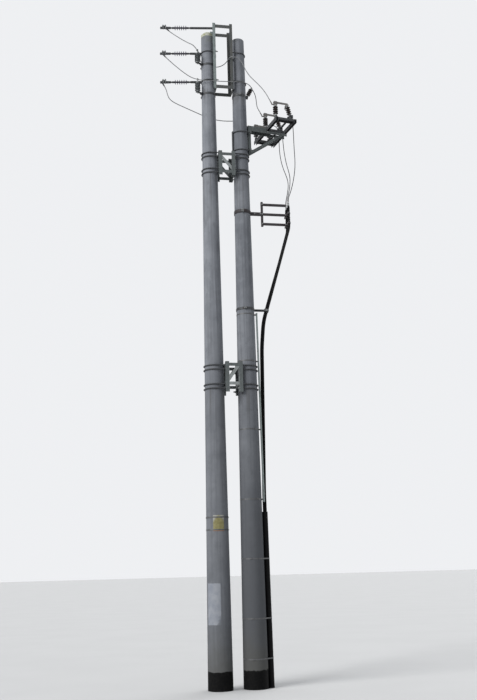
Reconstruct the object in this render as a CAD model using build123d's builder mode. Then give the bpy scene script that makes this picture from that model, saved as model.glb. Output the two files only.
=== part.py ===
"""Twin concrete utility pole: two tapered columns joined by steel frames, with
dead-end insulators, surge arresters, a pole-top disconnector and a cable drop.

Millimetres. X runs along the line from the left column to the right one, Y runs
away from the side that is looked at, Z is up from the ground. The origin is the
centre of the left column's foot at ground level.
"""
import os
from math import asin, atan2, cos, degrees, hypot, radians, sin, sqrt, tan

from build123d import *

os.makedirs("parts", exist_ok=True)

# Columns
column_height = 10900
column_top_d = 218
column_taper = 0.015
column_wall = 60
column_spacing = 540
right_column_drop = 65
column_foot_plug = 150
seat_gap = 0.3
cap_plug_depth = 60
left_cap_d = 176
left_cap_height = 52
right_cap_height = 9
right_cap_inset = 6
cap_round_share = 0.4

# Spreader frames between the columns
angle_leg = 60
angle_thickness = 6
tie_height = 60
tie_thickness = 10
brace_diagonal_width = 50
lower_brace_z = (4490, 4985)
upper_brace_z = (column_height - 2685, column_height - 2245)
lower_rail_levels = (4628, 4935)
upper_rail_levels = (column_height - 2620, column_height - 2304)
rail_height = 50
ubolt_d = 20
ubolt_spacing = 68
ubolt_tail = 46
ubolt_hole_play = 1
lower_brace_levels = (4584, 4894)
upper_brace_levels = (column_height - 2606, column_height - 2313)

# Head frame at the top, between the columns
head_z = (column_height - 1070, column_height + 190)
head_leg = 50
head_tie_levels = (column_height - 1040, column_height - 450, column_height + 130)
head_ubolt_d = 16
anchor_levels = (column_height - 906, column_height - 355)
anchor_lug_thickness = 12
anchor_lug_height = 46
anchor_pin_d = 14

# Dead-end strings on the left
string_slope = 4.6
string_top_z = column_height + 170
string_top_inset = 21.025
string_side_reach = 176
insulator_rod_d = 24
shed_d = 82
shed_core_d = 40
shed_count = 6
shed_pitch = 38
shed_thickness = 12
shed_share = 0.45
fitting_d = 34
column_fitting_length = 70
line_fitting_length = 114
clevis_length = 46
clamp_length = 140
clamp_width = 34
clamp_round = 6
clamp_bore_d = 13
clamp_bore_play = 0.5
clamp_bore_depth = 90
keeper_length = 70
keeper_height = 26
tail_d = 24
tail_length = 70
top_tail_place = (48, 41)
middle_tail_place = (102, 46)
lower_tail_place = (110, 60)
side_link_length = 130
top_link_length = 396
link_thickness = 6
link_width = 30
link_gap = 14
link_hole_play = 0.4

# Surge arresters on the left column's outer side
arrester_levels = (column_height - 1143, column_height - 580)
arrester_height = 186
arrester_angle = 204
arrester_d = 96
arrester_core_d = 62
arrester_shed_count = 5
arrester_offset = 100
arrester_band_height = 36
arrester_band_thickness = 5
arrester_arm_width = 44
arrester_arm_thickness = 8
arrester_stud_d = 16
arrester_stud_height = 34
arrester_clamp_d = 30
arrester_clamp_height = 40
arrester_shed_share = 1 / 3
arrester_grips = ((0.852, -0.371, -0.371), (0.644, 0.413, -0.644))

# Disconnector on the right column
switch_z = column_height - 1670
switch_turn = 10.7
switch_offset = 20
switch_phase_pitch = 446
switch_beam_near = 497
switch_beam_far = 835
switch_beam_length = 1010
switch_beam_width = 45
switch_beam_height = 65
switch_steel = 6
switch_cross_width = 100
switch_cross_height = 40
switch_fixed_x = 495
switch_pedestal = 37
switch_pedestal_width = 44
switch_shaft_x = 765
switch_shaft_d = 36
switch_shaft_rise = 48
switch_shaft_overhang = 65
switch_shaft_seam = 180
switch_bearing_thickness = 14
switch_bearing_length = 70
switch_bearing_play = 0.4
switch_bearing_cover = 12
switch_pad = 54
switch_pad_rise = 2
switch_pad_play = 5.4
switch_insulator_height = 156
switch_insulator_d = 92
switch_insulator_core_d = 56
switch_insulator_sheds = 4
switch_cap_d = 50
switch_cap_height = 22
switch_lean = 13
switch_blade_width = 9
switch_blade_height = 34
switch_blade_seat = 10
switch_blade_base = (52, 36, 12)
switch_blade_bite = 2
switch_blade_tip = 6
switch_blade_heel = 12
switch_jaw_gap = 20
switch_jaw_thickness = 8
switch_jaw_length = 62
switch_terminal_length = 40
switch_terminal_thickness = 10
switch_barrel_d = 20
switch_barrel_length = 44
switch_barrel_angles = (60, 60, 0)
switch_palm_reach = 55
switch_palm_width = 40
switch_palm_thickness = 16
switch_lead_sides = (1, 1, -1)
switch_clamp_levels = (column_height - 2188, column_height - 1852)
switch_clamp_d = 18
switch_clamp_plate = (12, 60)
switch_clamp_margin = 35
switch_arm_top = -20
switch_arm_height = 50
switch_bracket_steel = 8
switch_bracket_depth = 50
switch_bracket_half_width = 60
switch_backing_bar = (14, 44, 396)
switch_strut_low = (-10, 30)
switch_strut_high = (-60, -30)
switch_strut_width = 40

# Post insulator that holds the middle jumper off the right column
post_base = (column_spacing + 144, 0, column_height - 1125)
post_lean = 26.6
post_length = 185
post_cap_d = 38
post_cap_height = 22
post_core_d = 44
post_shed_d = 80
post_shed_count = 4
post_band_z = column_height - 1155
post_band_thickness = 5
post_band_height = 40
post_seat = 44
post_seat_thickness = 8
post_grip = (39, 52)
post_block_drop = 5
post_block_reach = 14
post_block_bite = 2

# Jumpers along the pole and leads down to the cables
jumper_d = 14
lead_d = 12
grip_run = 200
grip_play = 0.3
arc_share = 0.45
tail_run = 70
barrel_run = 60
stud_run = 55

# Cable frame, cables and guard on the right column
cable_d = 30
cable_pitch = 34
cable_foot_z = 5
cable_frame_x = (column_spacing + 336, column_spacing + 756)
cable_frame_z = (column_height - 3485, column_height - 3310, column_height - 3135)
cable_frame_bar = 36
cable_frame_margin = 45
cable_head_levels = (column_height - 3485, column_height - 3310)
cable_head_width = 280
cable_head_thickness = 8
cable_arm_height = 50
cable_arm_band = (8, 60)
termination_d = 38
termination_z = (column_height - 3510, column_height - 3160)
termination_spread = 100
termination_stud_d = 16
termination_stud_height = 60
cable_bracket_z = 5890
cable_bracket_band = (5, 40)
cable_bracket_arm = (40, 8)
cable_bracket_reach = 117
cable_cleat_height = 44
cable_cleat_wall = 6
cable_knee_z = column_height - 3570
cable_meet_z = 6120
cable_bend_z = 5700
cable_side = (column_spacing + 255, 5250)
cable_entry_z = 2900
cable_radii = (350, 2500, 1300, 3000, 9000)
guard_d = 90
guard_wall = 5
guard_top_z = 2610
rail_width = 30
rail_thickness = 4
cable_rail_z = (2760, 5830)
rail_angle = -20
rail_play = 2
rail_stand_off = ubolt_d + rail_play
rail_clip_inset = 1.5
rail_clip_play = 0.4
rail_clip_width = 24

# Straps, sign
strap_width = 20
strap_thickness = 1.6
guard_strap_levels = (420, 1003, 1886)
rail_strap_levels = (2800, 3900, 5013, 5798)
sign_width = 172
sign_height = 240
sign_thickness = 2
sign_z = 2322
sign_strap_levels = (2342, 2532)
sign_angle = -92

BASE = (Align.CENTER, Align.CENTER, Align.MIN)


def column_radius(z):
    """Outer radius of a column at height z."""
    return (column_top_d + column_taper * (column_height - z)) / 2


string_top_x = column_radius(head_z[0]) - string_top_inset


def save(piece, node):
    """Name a finished piece and write it."""
    piece.label = node
    export_step(piece, f"parts/{node}.step")


def ring(radius, thickness, height, gap=seat_gap):
    """A flat band around a circle of the given radius, added to the current part."""
    Cylinder(radius + gap + thickness, height)
    Cylinder(radius + gap, height, mode=Mode.SUBTRACT)


# Columns and their caps
def make_column(node, x, top):
    with BuildPart() as column:
        with Locations((x, 0, 0)):
            Cone(column_radius(0), column_radius(top), top, align=BASE)
        with Locations((x, 0, column_foot_plug)):
            Cone(
                column_radius(column_foot_plug) - column_wall,
                column_radius(top) - column_wall,
                top - column_foot_plug,
                align=BASE,
                mode=Mode.SUBTRACT,
            )
    save(column.part, node)


def make_cap(node, x, top, diameter, height):
    plug_radius = column_radius(top) - column_wall - seat_gap
    with BuildPart() as cap:
        with Locations((x, 0, top)):
            Cylinder(diameter / 2, height, align=BASE)
        fillet(cap.edges().group_by(Axis.Z)[-1], height * cap_round_share)
        with Locations((x, 0, top - cap_plug_depth)):
            Cylinder(plug_radius, cap_plug_depth, align=BASE)
    save(cap.part, node)


right_top = column_height - right_column_drop
make_column("left_column", 0, column_height)
make_column("right_column", column_spacing, right_top)
make_cap("left_column_cap", 0, column_height, left_cap_d, left_cap_height)
right_cap_d = 2 * (column_radius(right_top) - right_cap_inset)
make_cap("right_column_cap", column_spacing, right_top, right_cap_d, right_cap_height)


# U-bolts: straight legs beside the column joined by a half circle round its outer side
def ubolt_radius(z, bar_d):
    return column_radius(z) + seat_gap + bar_d / 2


def leg_end(frame_bottom):
    """How far a U-bolt leg runs past the column's axis, to just beyond the frame's angle."""
    return column_radius(frame_bottom) + seat_gap + ubolt_tail


def add_ubolt(x, side, z, r, bar_d, reach):
    """Side is +1 where the legs point to +X."""
    near, far = (x + side * reach, -r, z), (x + side * reach, r, z)
    with BuildLine() as path:
        Line(near, (x, -r, z))
        ThreePointArc((x, -r, z), (x - side * r, 0, z), (x, r, z))
        Line((x, r, z), far)
    with BuildSketch(Plane(origin=near, z_dir=(-side, 0, 0))) as section:
        Circle(bar_d / 2)
    sweep(section.sketch, path=path.line)


def make_ubolts(node, frame_bottom, levels, bar_d):
    with BuildPart() as bolts:
        for z in levels:
            for x, side in ((0, 1), (column_spacing, -1)):
                add_ubolt(x, side, z, ubolt_radius(z, bar_d), bar_d, leg_end(frame_bottom))
    save(bolts.part, node)


def paired(levels):
    """Each fixing level has two bars, one above the other."""
    return [z + k * ubolt_spacing / 2 for z in levels for k in (-1, 1)]


make_ubolts("lower_brace_ubolts", lower_brace_z[0], paired(lower_brace_levels), ubolt_d)
make_ubolts("upper_brace_ubolts", upper_brace_z[0], paired(upper_brace_levels), ubolt_d)

# The head frame's U-bolts on the left column also carry the lugs of the side strings
for name, z in zip(("lower", "middle"), anchor_levels):
    r = ubolt_radius(z, head_ubolt_d)
    with BuildPart() as anchor:
        add_ubolt(0, 1, z, r, head_ubolt_d, leg_end(head_z[0]))
        with Locations((-r, 0, z)):
            Box(string_side_reach + anchor_pin_d - r, anchor_lug_thickness, anchor_lug_height,
                align=(Align.MAX, Align.CENTER, Align.CENTER))
        with Locations(Location((-string_side_reach, 0, z), (90, 0, 0))):
            Cylinder(anchor_pin_d / 2, link_gap + 4 * link_thickness)
    save(anchor.part, f"{name}_anchor_bolt")

with BuildPart() as head_frame_ubolts:
    for z in anchor_levels:
        add_ubolt(column_spacing, -1, z, ubolt_radius(z, head_ubolt_d), head_ubolt_d, leg_end(head_z[0]))
save(head_frame_ubolts.part, "head_frame_ubolts")


# Spreader frames
def frame_half_depth(z_low, bar_d):
    """The front and back angles stand just outside the U-bolt legs."""
    return ubolt_radius(z_low, bar_d) + bar_d / 2 + ubolt_hole_play + angle_thickness


def add_corner_angles(z_low, z_high, half_depth, leg, turns):
    """Four upright angles. One leg takes the U-bolt nuts, the other faces front or back.

    A turn of +1 points the facing leg across the column's face, -1 into the gap.
    """
    inner = column_radius(z_low) + seat_gap
    height = z_high - z_low
    for x, side, turn in ((0, 1, turns[0]), (column_spacing, -1, turns[1])):
        face = x + side * inner
        for depth in (-1, 1):
            with Locations((face + side * angle_thickness / 2, depth * (half_depth - leg / 2), z_low)):
                Box(angle_thickness, leg, height, align=BASE)
            across = face + side * (angle_thickness / 2 + turn * (angle_thickness - leg) / 2)
            with Locations((across, depth * (half_depth - angle_thickness / 2), z_low)):
                Box(leg, angle_thickness, height, align=BASE)


def add_ties(z_low, levels, half_depth):
    """Flat ties along Y between the front and back angles, bearing on the column."""
    inner = column_radius(z_low) + seat_gap
    for z in levels:
        for x, side in ((0, 1), (column_spacing, -1)):
            with Locations((x + side * (inner + tie_thickness / 2), 0, z)):
                Box(tie_thickness, 2 * half_depth - 2 * angle_thickness, tie_height)


def add_rails(z_low, levels, half_depth, height):
    """Flat rails along X, front and back, from one column's angles to the other's."""
    inner = column_radius(z_low) + seat_gap
    length = column_spacing - 2 * inner
    for z in levels:
        for depth in (-1, 1):
            with Locations((column_spacing / 2, depth * (half_depth - angle_thickness / 2), z)):
                Box(length, angle_thickness, height)


def add_diagonals(z_low, z_from, z_to, half_depth, width):
    """One flat diagonal in the front plane and one in the back plane."""
    inner = column_radius(z_low) + seat_gap
    run = column_spacing - 2 * inner - 2 * angle_thickness
    rise = z_to - z_from
    tilt = -degrees(atan2(rise, run))
    y = half_depth - angle_thickness / 2
    for depth in (-1, 1):
        with Locations(Location((column_spacing / 2, depth * y, (z_from + z_to) / 2), (0, tilt, 0))):
            Box(hypot(run, rise), angle_thickness, width)


def drill_ubolt_holes(z_low, levels, bar_d):
    inner = column_radius(z_low) + seat_gap
    for z in levels:
        for x, side in ((0, 1), (column_spacing, -1)):
            for depth in (-1, 1):
                place = (x + side * inner, depth * ubolt_radius(z, bar_d), z)
                with Locations(Location(place, (0, 90, 0))):
                    Cylinder(bar_d / 2 + ubolt_hole_play, 4 * tie_thickness, mode=Mode.SUBTRACT)


def make_brace(node, z_range, rail_levels, levels, direction, turns):
    """Direction +1: the diagonals rise from left to right."""
    z_low, z_high = z_range
    half_depth = frame_half_depth(z_low, ubolt_d)
    ends = rail_levels if direction > 0 else rail_levels[::-1]
    with BuildPart() as brace:
        add_corner_angles(z_low, z_high, half_depth, angle_leg, turns)
        add_ties(z_low, rail_levels, half_depth)
        add_rails(z_low, rail_levels, half_depth, rail_height)
        add_diagonals(z_low, *ends, half_depth, brace_diagonal_width)
        drill_ubolt_holes(z_low, paired(levels), ubolt_d)
    save(brace.part, node)


make_brace("lower_brace", lower_brace_z, lower_rail_levels, lower_brace_levels, 1, (-1, 1))
make_brace("upper_brace", upper_brace_z, upper_rail_levels, upper_brace_levels, -1, (-1, -1))

head_half_depth = frame_half_depth(head_z[0], head_ubolt_d)
with BuildPart() as head_frame:
    add_corner_angles(*head_z, head_half_depth, head_leg, (1, -1))
    add_ties(head_z[0], head_tie_levels, head_half_depth)
    add_rails(head_z[0], (head_tie_levels[0], head_tie_levels[-1]), head_half_depth, tie_height)
    drill_ubolt_holes(head_z[0], anchor_levels, head_ubolt_d)
    lug_end = string_top_x - anchor_pin_d
    with Locations((lug_end, 0, string_top_z)):
        Box(column_radius(head_z[0]) + tie_thickness - lug_end, anchor_lug_thickness, anchor_lug_height,
            align=(Align.MIN, Align.CENTER, Align.CENTER))
    with Locations(Location((string_top_x, 0, string_top_z), (90, 0, 0))):
        Cylinder(anchor_pin_d / 2, link_gap + 4 * link_thickness)
save(head_frame.part, "head_frame")


# Dead-end strings: everything is placed by its distance along the string
def string_plane(x, z, distance):
    """Plane across a string, facing outwards, at a distance from its anchor point."""
    slope = radians(string_slope)
    direction = (-cos(slope), 0, -sin(slope))
    return Plane(
        origin=(x + distance * direction[0], 0, z + distance * direction[2]),
        x_dir=(0, 1, 0),
        z_dir=direction,
    )


def tail_plane(x, z, distance, angle):
    """Plane across the clamp's jumper tail, which points down and towards the column."""
    start = string_plane(x, z, distance).origin
    return Plane(origin=start, z_dir=(cos(radians(angle)), 0, -sin(radians(angle))))


def make_string(name, x, z, link_length, tail_offset, tail_angle):
    """Link, insulator and clamp, one after the other away from the column.

    The tail starts at an offset along the clamp and points down at an angle.
    Returns the end and the direction of the clamp's jumper tail.
    """
    shed_length = (shed_count - 1) * shed_pitch + shed_thickness
    with BuildPart() as link:
        with BuildSketch(string_plane(x, z, -link_width / 2)):
            for side in (-1, 1):
                with Locations((side * (link_gap + link_thickness) / 2, 0)):
                    Rectangle(link_thickness, link_width)
        extrude(amount=link_length + link_width / 2)
        with BuildSketch(string_plane(x, z, link_length - link_thickness)):
            Rectangle(link_gap + link_thickness, link_width)
        extrude(amount=2 * link_thickness)
        with Locations(Location((x, 0, z), (90, 0, 0))):
            Cylinder(anchor_pin_d / 2 + link_hole_play, 2 * link_width, mode=Mode.SUBTRACT)
    save(link.part, f"{name}_link")

    start = link_length + link_thickness + seat_gap
    body_start = start + column_fitting_length
    body_end = body_start + shed_length
    end = body_end + line_fitting_length
    with BuildPart() as insulator:
        with BuildSketch(string_plane(x, z, start)):
            Circle(insulator_rod_d / 2)
        extrude(amount=end - start)
        for distance in (start, end - clevis_length):
            with BuildSketch(string_plane(x, z, distance)):
                Circle(fitting_d / 2)
            extrude(amount=clevis_length)
        with BuildSketch(string_plane(x, z, body_start)):
            Circle(shed_core_d / 2)
        extrude(amount=shed_length)
        for k in range(shed_count):
            with BuildSketch(string_plane(x, z, body_start + k * shed_pitch)):
                Circle(shed_d / 2)
            extrude(amount=shed_thickness)
    save(insulator.part, f"{name}_insulator")

    clamp_start = end + seat_gap
    tail = tail_plane(x, z, clamp_start + tail_offset, tail_angle)
    with BuildPart() as clamp:
        with BuildSketch(string_plane(x, z, clamp_start)):
            RectangleRounded(clamp_width, clamp_width, clamp_round)
        extrude(amount=clamp_length)
        with BuildSketch(string_plane(x, z, clamp_start + (clamp_length - keeper_length) / 2)):
            with Locations((0, -(clamp_width + keeper_height) / 2 + clamp_round)):
                RectangleRounded(clamp_width, keeper_height, clamp_round)
        extrude(amount=keeper_length)
        with BuildSketch(tail):
            Circle(tail_d / 2)
        extrude(amount=tail_length)
        with BuildSketch(string_plane(x, z, clamp_start + clamp_length)):
            Circle(clamp_bore_d / 2 + clamp_bore_play)
        extrude(amount=-clamp_bore_depth, mode=Mode.SUBTRACT)
    save(clamp.part, f"{name}_line_clamp")
    return tail.origin + tail.z_dir * (tail_length + grip_play), tail.z_dir


top_tail, top_tail_dir = make_string("top", string_top_x, string_top_z, top_link_length, *top_tail_place)
middle_tail, middle_tail_dir = make_string(
    "middle", -string_side_reach, anchor_levels[1], side_link_length, *middle_tail_place
)
lower_tail, lower_tail_dir = make_string(
    "lower", -string_side_reach, anchor_levels[0], side_link_length, *lower_tail_place
)

# Surge arresters, each on an arm with its own band; a bored clamp on top grips the jumper
arrester_turn = radians(arrester_angle)
grip_directions = [Vector(d).normalized() for d in arrester_grips]
grips = []
for k, z in enumerate(arrester_levels):
    local = Plane(origin=(0, 0, z), x_dir=(cos(arrester_turn), sin(arrester_turn), 0), z_dir=(0, 0, 1))
    arrester_x = column_radius(z) + arrester_offset
    clamp_base = arrester_height + arrester_stud_height
    grips.append(local.from_local_coords(Vector(arrester_x, 0, clamp_base + arrester_clamp_height / 2)))
    with BuildPart() as arrester:
        with Locations(local.from_local_coords(Vector(arrester_x, 0, 0))):
            Cylinder(arrester_core_d / 2, arrester_height, align=BASE)
            pitch = arrester_height / (arrester_shed_count + 1)
            for n in range(1, arrester_shed_count + 1):
                with Locations((0, 0, n * pitch)):
                    Cylinder(arrester_d / 2, pitch * arrester_shed_share)
            with Locations((0, 0, arrester_height)):
                Cylinder(arrester_stud_d / 2, arrester_stud_height, align=BASE)
            with Locations((0, 0, clamp_base)):
                Cylinder(arrester_clamp_d / 2, arrester_clamp_height, align=BASE)
        with BuildSketch(Plane(origin=grips[k], z_dir=grip_directions[k])):
            Circle(jumper_d / 2 + grip_play)
        extrude(amount=arrester_clamp_height, both=True, mode=Mode.SUBTRACT)
    save(arrester.part, f"arrester_{k + 1}")

    arm_start = column_radius(z) + seat_gap + arrester_band_thickness / 2
    with BuildPart(local) as holder:
        with Locations((0, 0, -arrester_band_height / 2 - seat_gap)):
            ring(column_radius(z - arrester_band_height), arrester_band_thickness, arrester_band_height)
        with Locations((arm_start, 0, -seat_gap)):
            Box(arrester_x + arrester_core_d / 2 - arm_start, arrester_arm_width, arrester_arm_thickness,
                align=(Align.MIN, Align.CENTER, Align.MAX))
            Box(arrester_offset / 2, arrester_arm_thickness, arrester_band_height,
                align=(Align.MIN, Align.CENTER, Align.MAX))
    save(holder.part, f"arrester_holder_{k + 1}")

# Disconnector: a local frame with x away from the right column and y along the beams
turn = radians(switch_turn)
switch_plane = Plane(
    origin=(column_spacing, 0, switch_z),
    x_dir=(cos(turn), sin(turn), 0),
    z_dir=(0, 0, 1),
)
phases = [switch_offset + k * switch_phase_pitch for k in (-1, 0, 1)]
beam_x = (switch_beam_near, switch_beam_far)
shaft_z = switch_shaft_rise
shaft_length = 2 * (switch_phase_pitch + switch_shaft_overhang)
insulator_length = switch_insulator_height + 2 * switch_cap_height
fixed_top = switch_pedestal + insulator_length + 2 * seat_gap
moving_base = switch_shaft_d / 2 + switch_pad_rise
lean = radians(switch_lean)
blade_mount = moving_base + insulator_length + 2 * seat_gap
blade_pivot_x = switch_shaft_x - blade_mount * sin(lean)
blade_low = shaft_z + (blade_mount + switch_blade_base[2] - switch_blade_bite) * cos(lean)
blade_tip_x = switch_fixed_x - switch_jaw_length / 2 + switch_blade_tip


def channel(width, height, length, wall, place, rotation=(0, 0, 0)):
    """A straight channel with its web up and its flanges down."""
    with Locations(Location(place, rotation)):
        Box(length, width, wall, align=(Align.CENTER, Align.CENTER, Align.MAX))
        for side in (-1, 1):
            with Locations((0, side * (width - wall) / 2, 0)):
                Box(length, wall, height, align=(Align.CENTER, Align.CENTER, Align.MAX))


with BuildPart(switch_plane) as switch_base:
    for x in beam_x:
        channel(switch_beam_width, switch_beam_height, switch_beam_length, switch_steel,
                (x, switch_offset, 0), (0, 0, 90))
    span = switch_beam_far - switch_beam_near - switch_beam_width
    for y in phases:
        channel(switch_cross_width, switch_cross_height, span, switch_steel,
                ((switch_beam_near + switch_beam_far) / 2, y, 0))
        with Locations((switch_fixed_x, y, 0)):
            Box(switch_pedestal_width, switch_pedestal_width, switch_pedestal, align=BASE)
save(switch_base.part, "switch_base")

with BuildPart(switch_plane) as switch_bearings:
    for y in phases:
        for side in (-1, 1):
            offset = switch_pad / 2 + switch_pad_play + switch_bearing_thickness / 2
            place = (switch_shaft_x, y + side * offset, seat_gap)
            with Locations(place):
                height = shaft_z + switch_shaft_d / 2 + switch_bearing_cover - seat_gap
                Box(switch_bearing_length, switch_bearing_thickness, height, align=BASE)
            with Locations(Location((place[0], place[1], shaft_z), (90, 0, 0))):
                Cylinder(
                    switch_shaft_d / 2 + switch_bearing_play,
                    switch_bearing_thickness * 2,
                    mode=Mode.SUBTRACT,
                )
save(switch_bearings.part, "switch_bearings")


def add_post_insulator(height):
    """A ribbed post insulator with metal ends, from the local origin up."""
    Cylinder(switch_cap_d / 2, switch_cap_height, align=BASE)
    with Locations((0, 0, switch_cap_height)):
        Cylinder(switch_insulator_core_d / 2, height, align=BASE)
    pitch = height / switch_insulator_sheds
    for n in range(switch_insulator_sheds):
        with Locations((0, 0, switch_cap_height + (n + 0.5) * pitch)):
            Cylinder(switch_insulator_d / 2, pitch * shed_share)
    with Locations((0, 0, switch_cap_height + height)):
        Cylinder(switch_cap_d / 2, switch_cap_height, align=BASE)


with BuildPart(switch_plane) as fixed_insulators:
    for y in phases:
        with Locations((switch_fixed_x, y, switch_pedestal + seat_gap)):
            add_post_insulator(switch_insulator_height)
save(fixed_insulators.part, "fixed_insulators")

contact_seat = blade_low - switch_blade_seat
contact_edge = switch_fixed_x - switch_jaw_length / 2
barrel_x = contact_edge - switch_terminal_length + switch_barrel_d / 2
barrel_z = fixed_top + switch_barrel_d / 2
with BuildPart(switch_plane) as fixed_contacts:
    for y, angle in zip(phases, switch_barrel_angles):
        with Locations((switch_fixed_x, y, fixed_top)):
            Box(switch_jaw_length, switch_jaw_gap + 2 * switch_jaw_thickness, contact_seat - fixed_top,
                align=BASE)
            for side in (-1, 1):
                with Locations((0, side * (switch_jaw_gap + switch_jaw_thickness) / 2, 0)):
                    Box(switch_jaw_length, switch_jaw_thickness, blade_low + switch_blade_height - fixed_top,
                        align=BASE)
        with Locations((contact_edge, y, fixed_top)):
            Box(switch_terminal_length, switch_barrel_d, switch_terminal_thickness,
                align=(Align.MAX, Align.CENTER, Align.MIN))
        with Locations(Location((barrel_x, y, barrel_z), (0, angle - 90, 0))):
            Cylinder(switch_barrel_d / 2, switch_barrel_length, align=BASE)
save(fixed_contacts.part, "fixed_contacts")

with BuildPart(switch_plane) as switch_shaft:
    with Locations(Location((switch_shaft_x, switch_offset, shaft_z), (90, 0, 0))):
        Cylinder(switch_shaft_d / 2, shaft_length, rotation=(0, 0, switch_shaft_seam))
    for y in phases:
        with Locations(Location((switch_shaft_x, y, shaft_z), (0, -switch_lean, 0))):
            Box(switch_pad, switch_pad, moving_base, align=BASE)
save(switch_shaft.part, "switch_shaft")

with BuildPart(switch_plane) as moving_insulators:
    for y in phases:
        with Locations(Location((switch_shaft_x, y, shaft_z), (0, -switch_lean, 0))):
            with Locations((0, 0, moving_base + seat_gap)):
                add_post_insulator(switch_insulator_height)
save(moving_insulators.part, "moving_insulators")

with BuildPart(switch_plane) as blades:
    for y, side in zip(phases, switch_lead_sides):
        with Locations(Location((switch_shaft_x, y, shaft_z), (0, -switch_lean, 0))):
            with Locations((0, 0, blade_mount)):
                Box(*switch_blade_base, align=BASE)
            with Locations((0, side * switch_palm_reach / 2, blade_mount)):
                Box(switch_palm_width, switch_palm_reach, switch_palm_thickness, align=BASE)
        with Locations((blade_tip_x, y, blade_low)):
            Box(blade_pivot_x - blade_tip_x + switch_blade_heel, switch_blade_width, switch_blade_height,
                align=(Align.MIN, Align.CENTER, Align.MIN))
save(blades.part, "switch_blades")

# The bracket that carries the disconnector, and its U-bolts round the column's inner side
clamp_radius = column_radius(switch_clamp_levels[0]) + seat_gap
arm_z = -switch_beam_height
upright_x = clamp_radius + switch_bracket_depth
beam_inner = switch_beam_near - switch_beam_width / 2
with BuildPart(switch_plane) as switch_bracket:
    plate_thickness, plate_height = switch_clamp_plate
    for z in switch_clamp_levels:
        with Locations((clamp_radius, 0, z - switch_z)):
            Box(plate_thickness, 2 * (clamp_radius + switch_clamp_margin), plate_height,
                align=(Align.MIN, Align.CENTER, Align.CENTER))
    low = switch_clamp_levels[0] - switch_z - plate_height / 2
    arm_length = switch_beam_far + switch_beam_width / 2 - clamp_radius
    strut_from = (upright_x + switch_strut_low[0], low + switch_strut_low[1])
    strut_to = (switch_beam_far + switch_strut_high[0], arm_z + switch_strut_high[1])
    dx, dz = strut_to[0] - strut_from[0], strut_to[1] - strut_from[1]
    middle = ((strut_from[0] + strut_to[0]) / 2, (strut_from[1] + strut_to[1]) / 2)
    with Locations((clamp_radius, 0, switch_arm_top)):
        Box(beam_inner - clamp_radius, 2 * switch_bracket_half_width, switch_bracket_steel,
            align=(Align.MIN, Align.CENTER, Align.MAX))
    for side in (-1, 1):
        y = side * (switch_bracket_half_width - switch_bracket_steel / 2)
        with Locations((clamp_radius, y, low)):
            Box(switch_bracket_depth, switch_bracket_steel, switch_arm_top - low,
                align=(Align.MIN, Align.CENTER, Align.MIN))
        with Locations((clamp_radius, y, switch_arm_top)):
            Box(beam_inner - clamp_radius, switch_bracket_steel, switch_arm_height,
                align=(Align.MIN, Align.CENTER, Align.MAX))
        with Locations((clamp_radius, y, arm_z)):
            Box(arm_length, switch_bracket_steel, switch_arm_height,
                align=(Align.MIN, Align.CENTER, Align.MAX))
        with Locations(Location((middle[0], y, middle[1]), (0, -degrees(atan2(dz, dx)), 0))):
            Box(hypot(dx, dz), switch_bracket_steel, switch_strut_width)
    for z in switch_clamp_levels:
        for side in (-1, 1):
            y = side * ubolt_radius(z, switch_clamp_d)
            with Locations(Location((clamp_radius, y, z - switch_z), (0, 90, 0))):
                Cylinder(switch_clamp_d / 2 + ubolt_hole_play, plate_height, mode=Mode.SUBTRACT)
save(switch_bracket.part, "switch_bracket")

with BuildPart() as switch_ubolts:
    for z in switch_clamp_levels:
        r = ubolt_radius(z, switch_clamp_d)
        add_ubolt(0, 1, z - switch_z, r, switch_clamp_d, clamp_radius + ubolt_tail)
    bar_x = -(r + switch_clamp_d / 2)
    with Locations((bar_x, 0, (sum(switch_clamp_levels) / 2 - switch_z))):
        Box(*switch_backing_bar)
save(switch_ubolts.part.moved(switch_plane.location), "switch_bracket_ubolts")

# Post insulator on a band with a slanted seat
post_plane = Plane(
    origin=post_base,
    x_dir=(cos(radians(post_lean)), 0, -sin(radians(post_lean))),
    z_dir=(sin(radians(post_lean)), 0, cos(radians(post_lean))),
)
with BuildPart(post_plane) as jumper_post:
    Cylinder(post_cap_d / 2, post_cap_height, align=BASE)
    with Locations((0, 0, post_length - post_cap_height)):
        Cylinder(post_cap_d / 2, post_cap_height, align=BASE)
    with Locations((0, 0, post_cap_height)):
        Cylinder(post_core_d / 2, post_length - 2 * post_cap_height, align=BASE)
    pitch = (post_length - 2 * post_cap_height) / post_shed_count
    for n in range(post_shed_count):
        with Locations((0, 0, post_cap_height + (n + 0.5) * pitch)):
            Cylinder(post_shed_d / 2, pitch * shed_share)
save(jumper_post.part, "jumper_post")

band_outer = column_spacing + column_radius(post_band_z) + post_band_thickness
with BuildPart() as jumper_post_bracket:
    with Locations((column_spacing, 0, post_band_z)):
        ring(column_radius(post_band_z - post_band_height), post_band_thickness, post_band_height)
    block_top = post_base[2] - post_seat_thickness - post_block_drop
    block_foot = post_band_z - post_band_height / 4
    with Locations((band_outer - post_block_bite, 0, block_foot)):
        Box(post_base[0] + post_block_reach - band_outer, post_seat, block_top - block_foot,
            align=(Align.MIN, Align.CENTER, Align.MIN))
    with Locations(post_plane * Location((0, 0, -seat_gap))):
        Box(post_seat, post_seat, post_seat_thickness, align=(Align.CENTER, Align.CENTER, Align.MAX))
save(jumper_post_bracket.part, "jumper_post_bracket")

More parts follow.
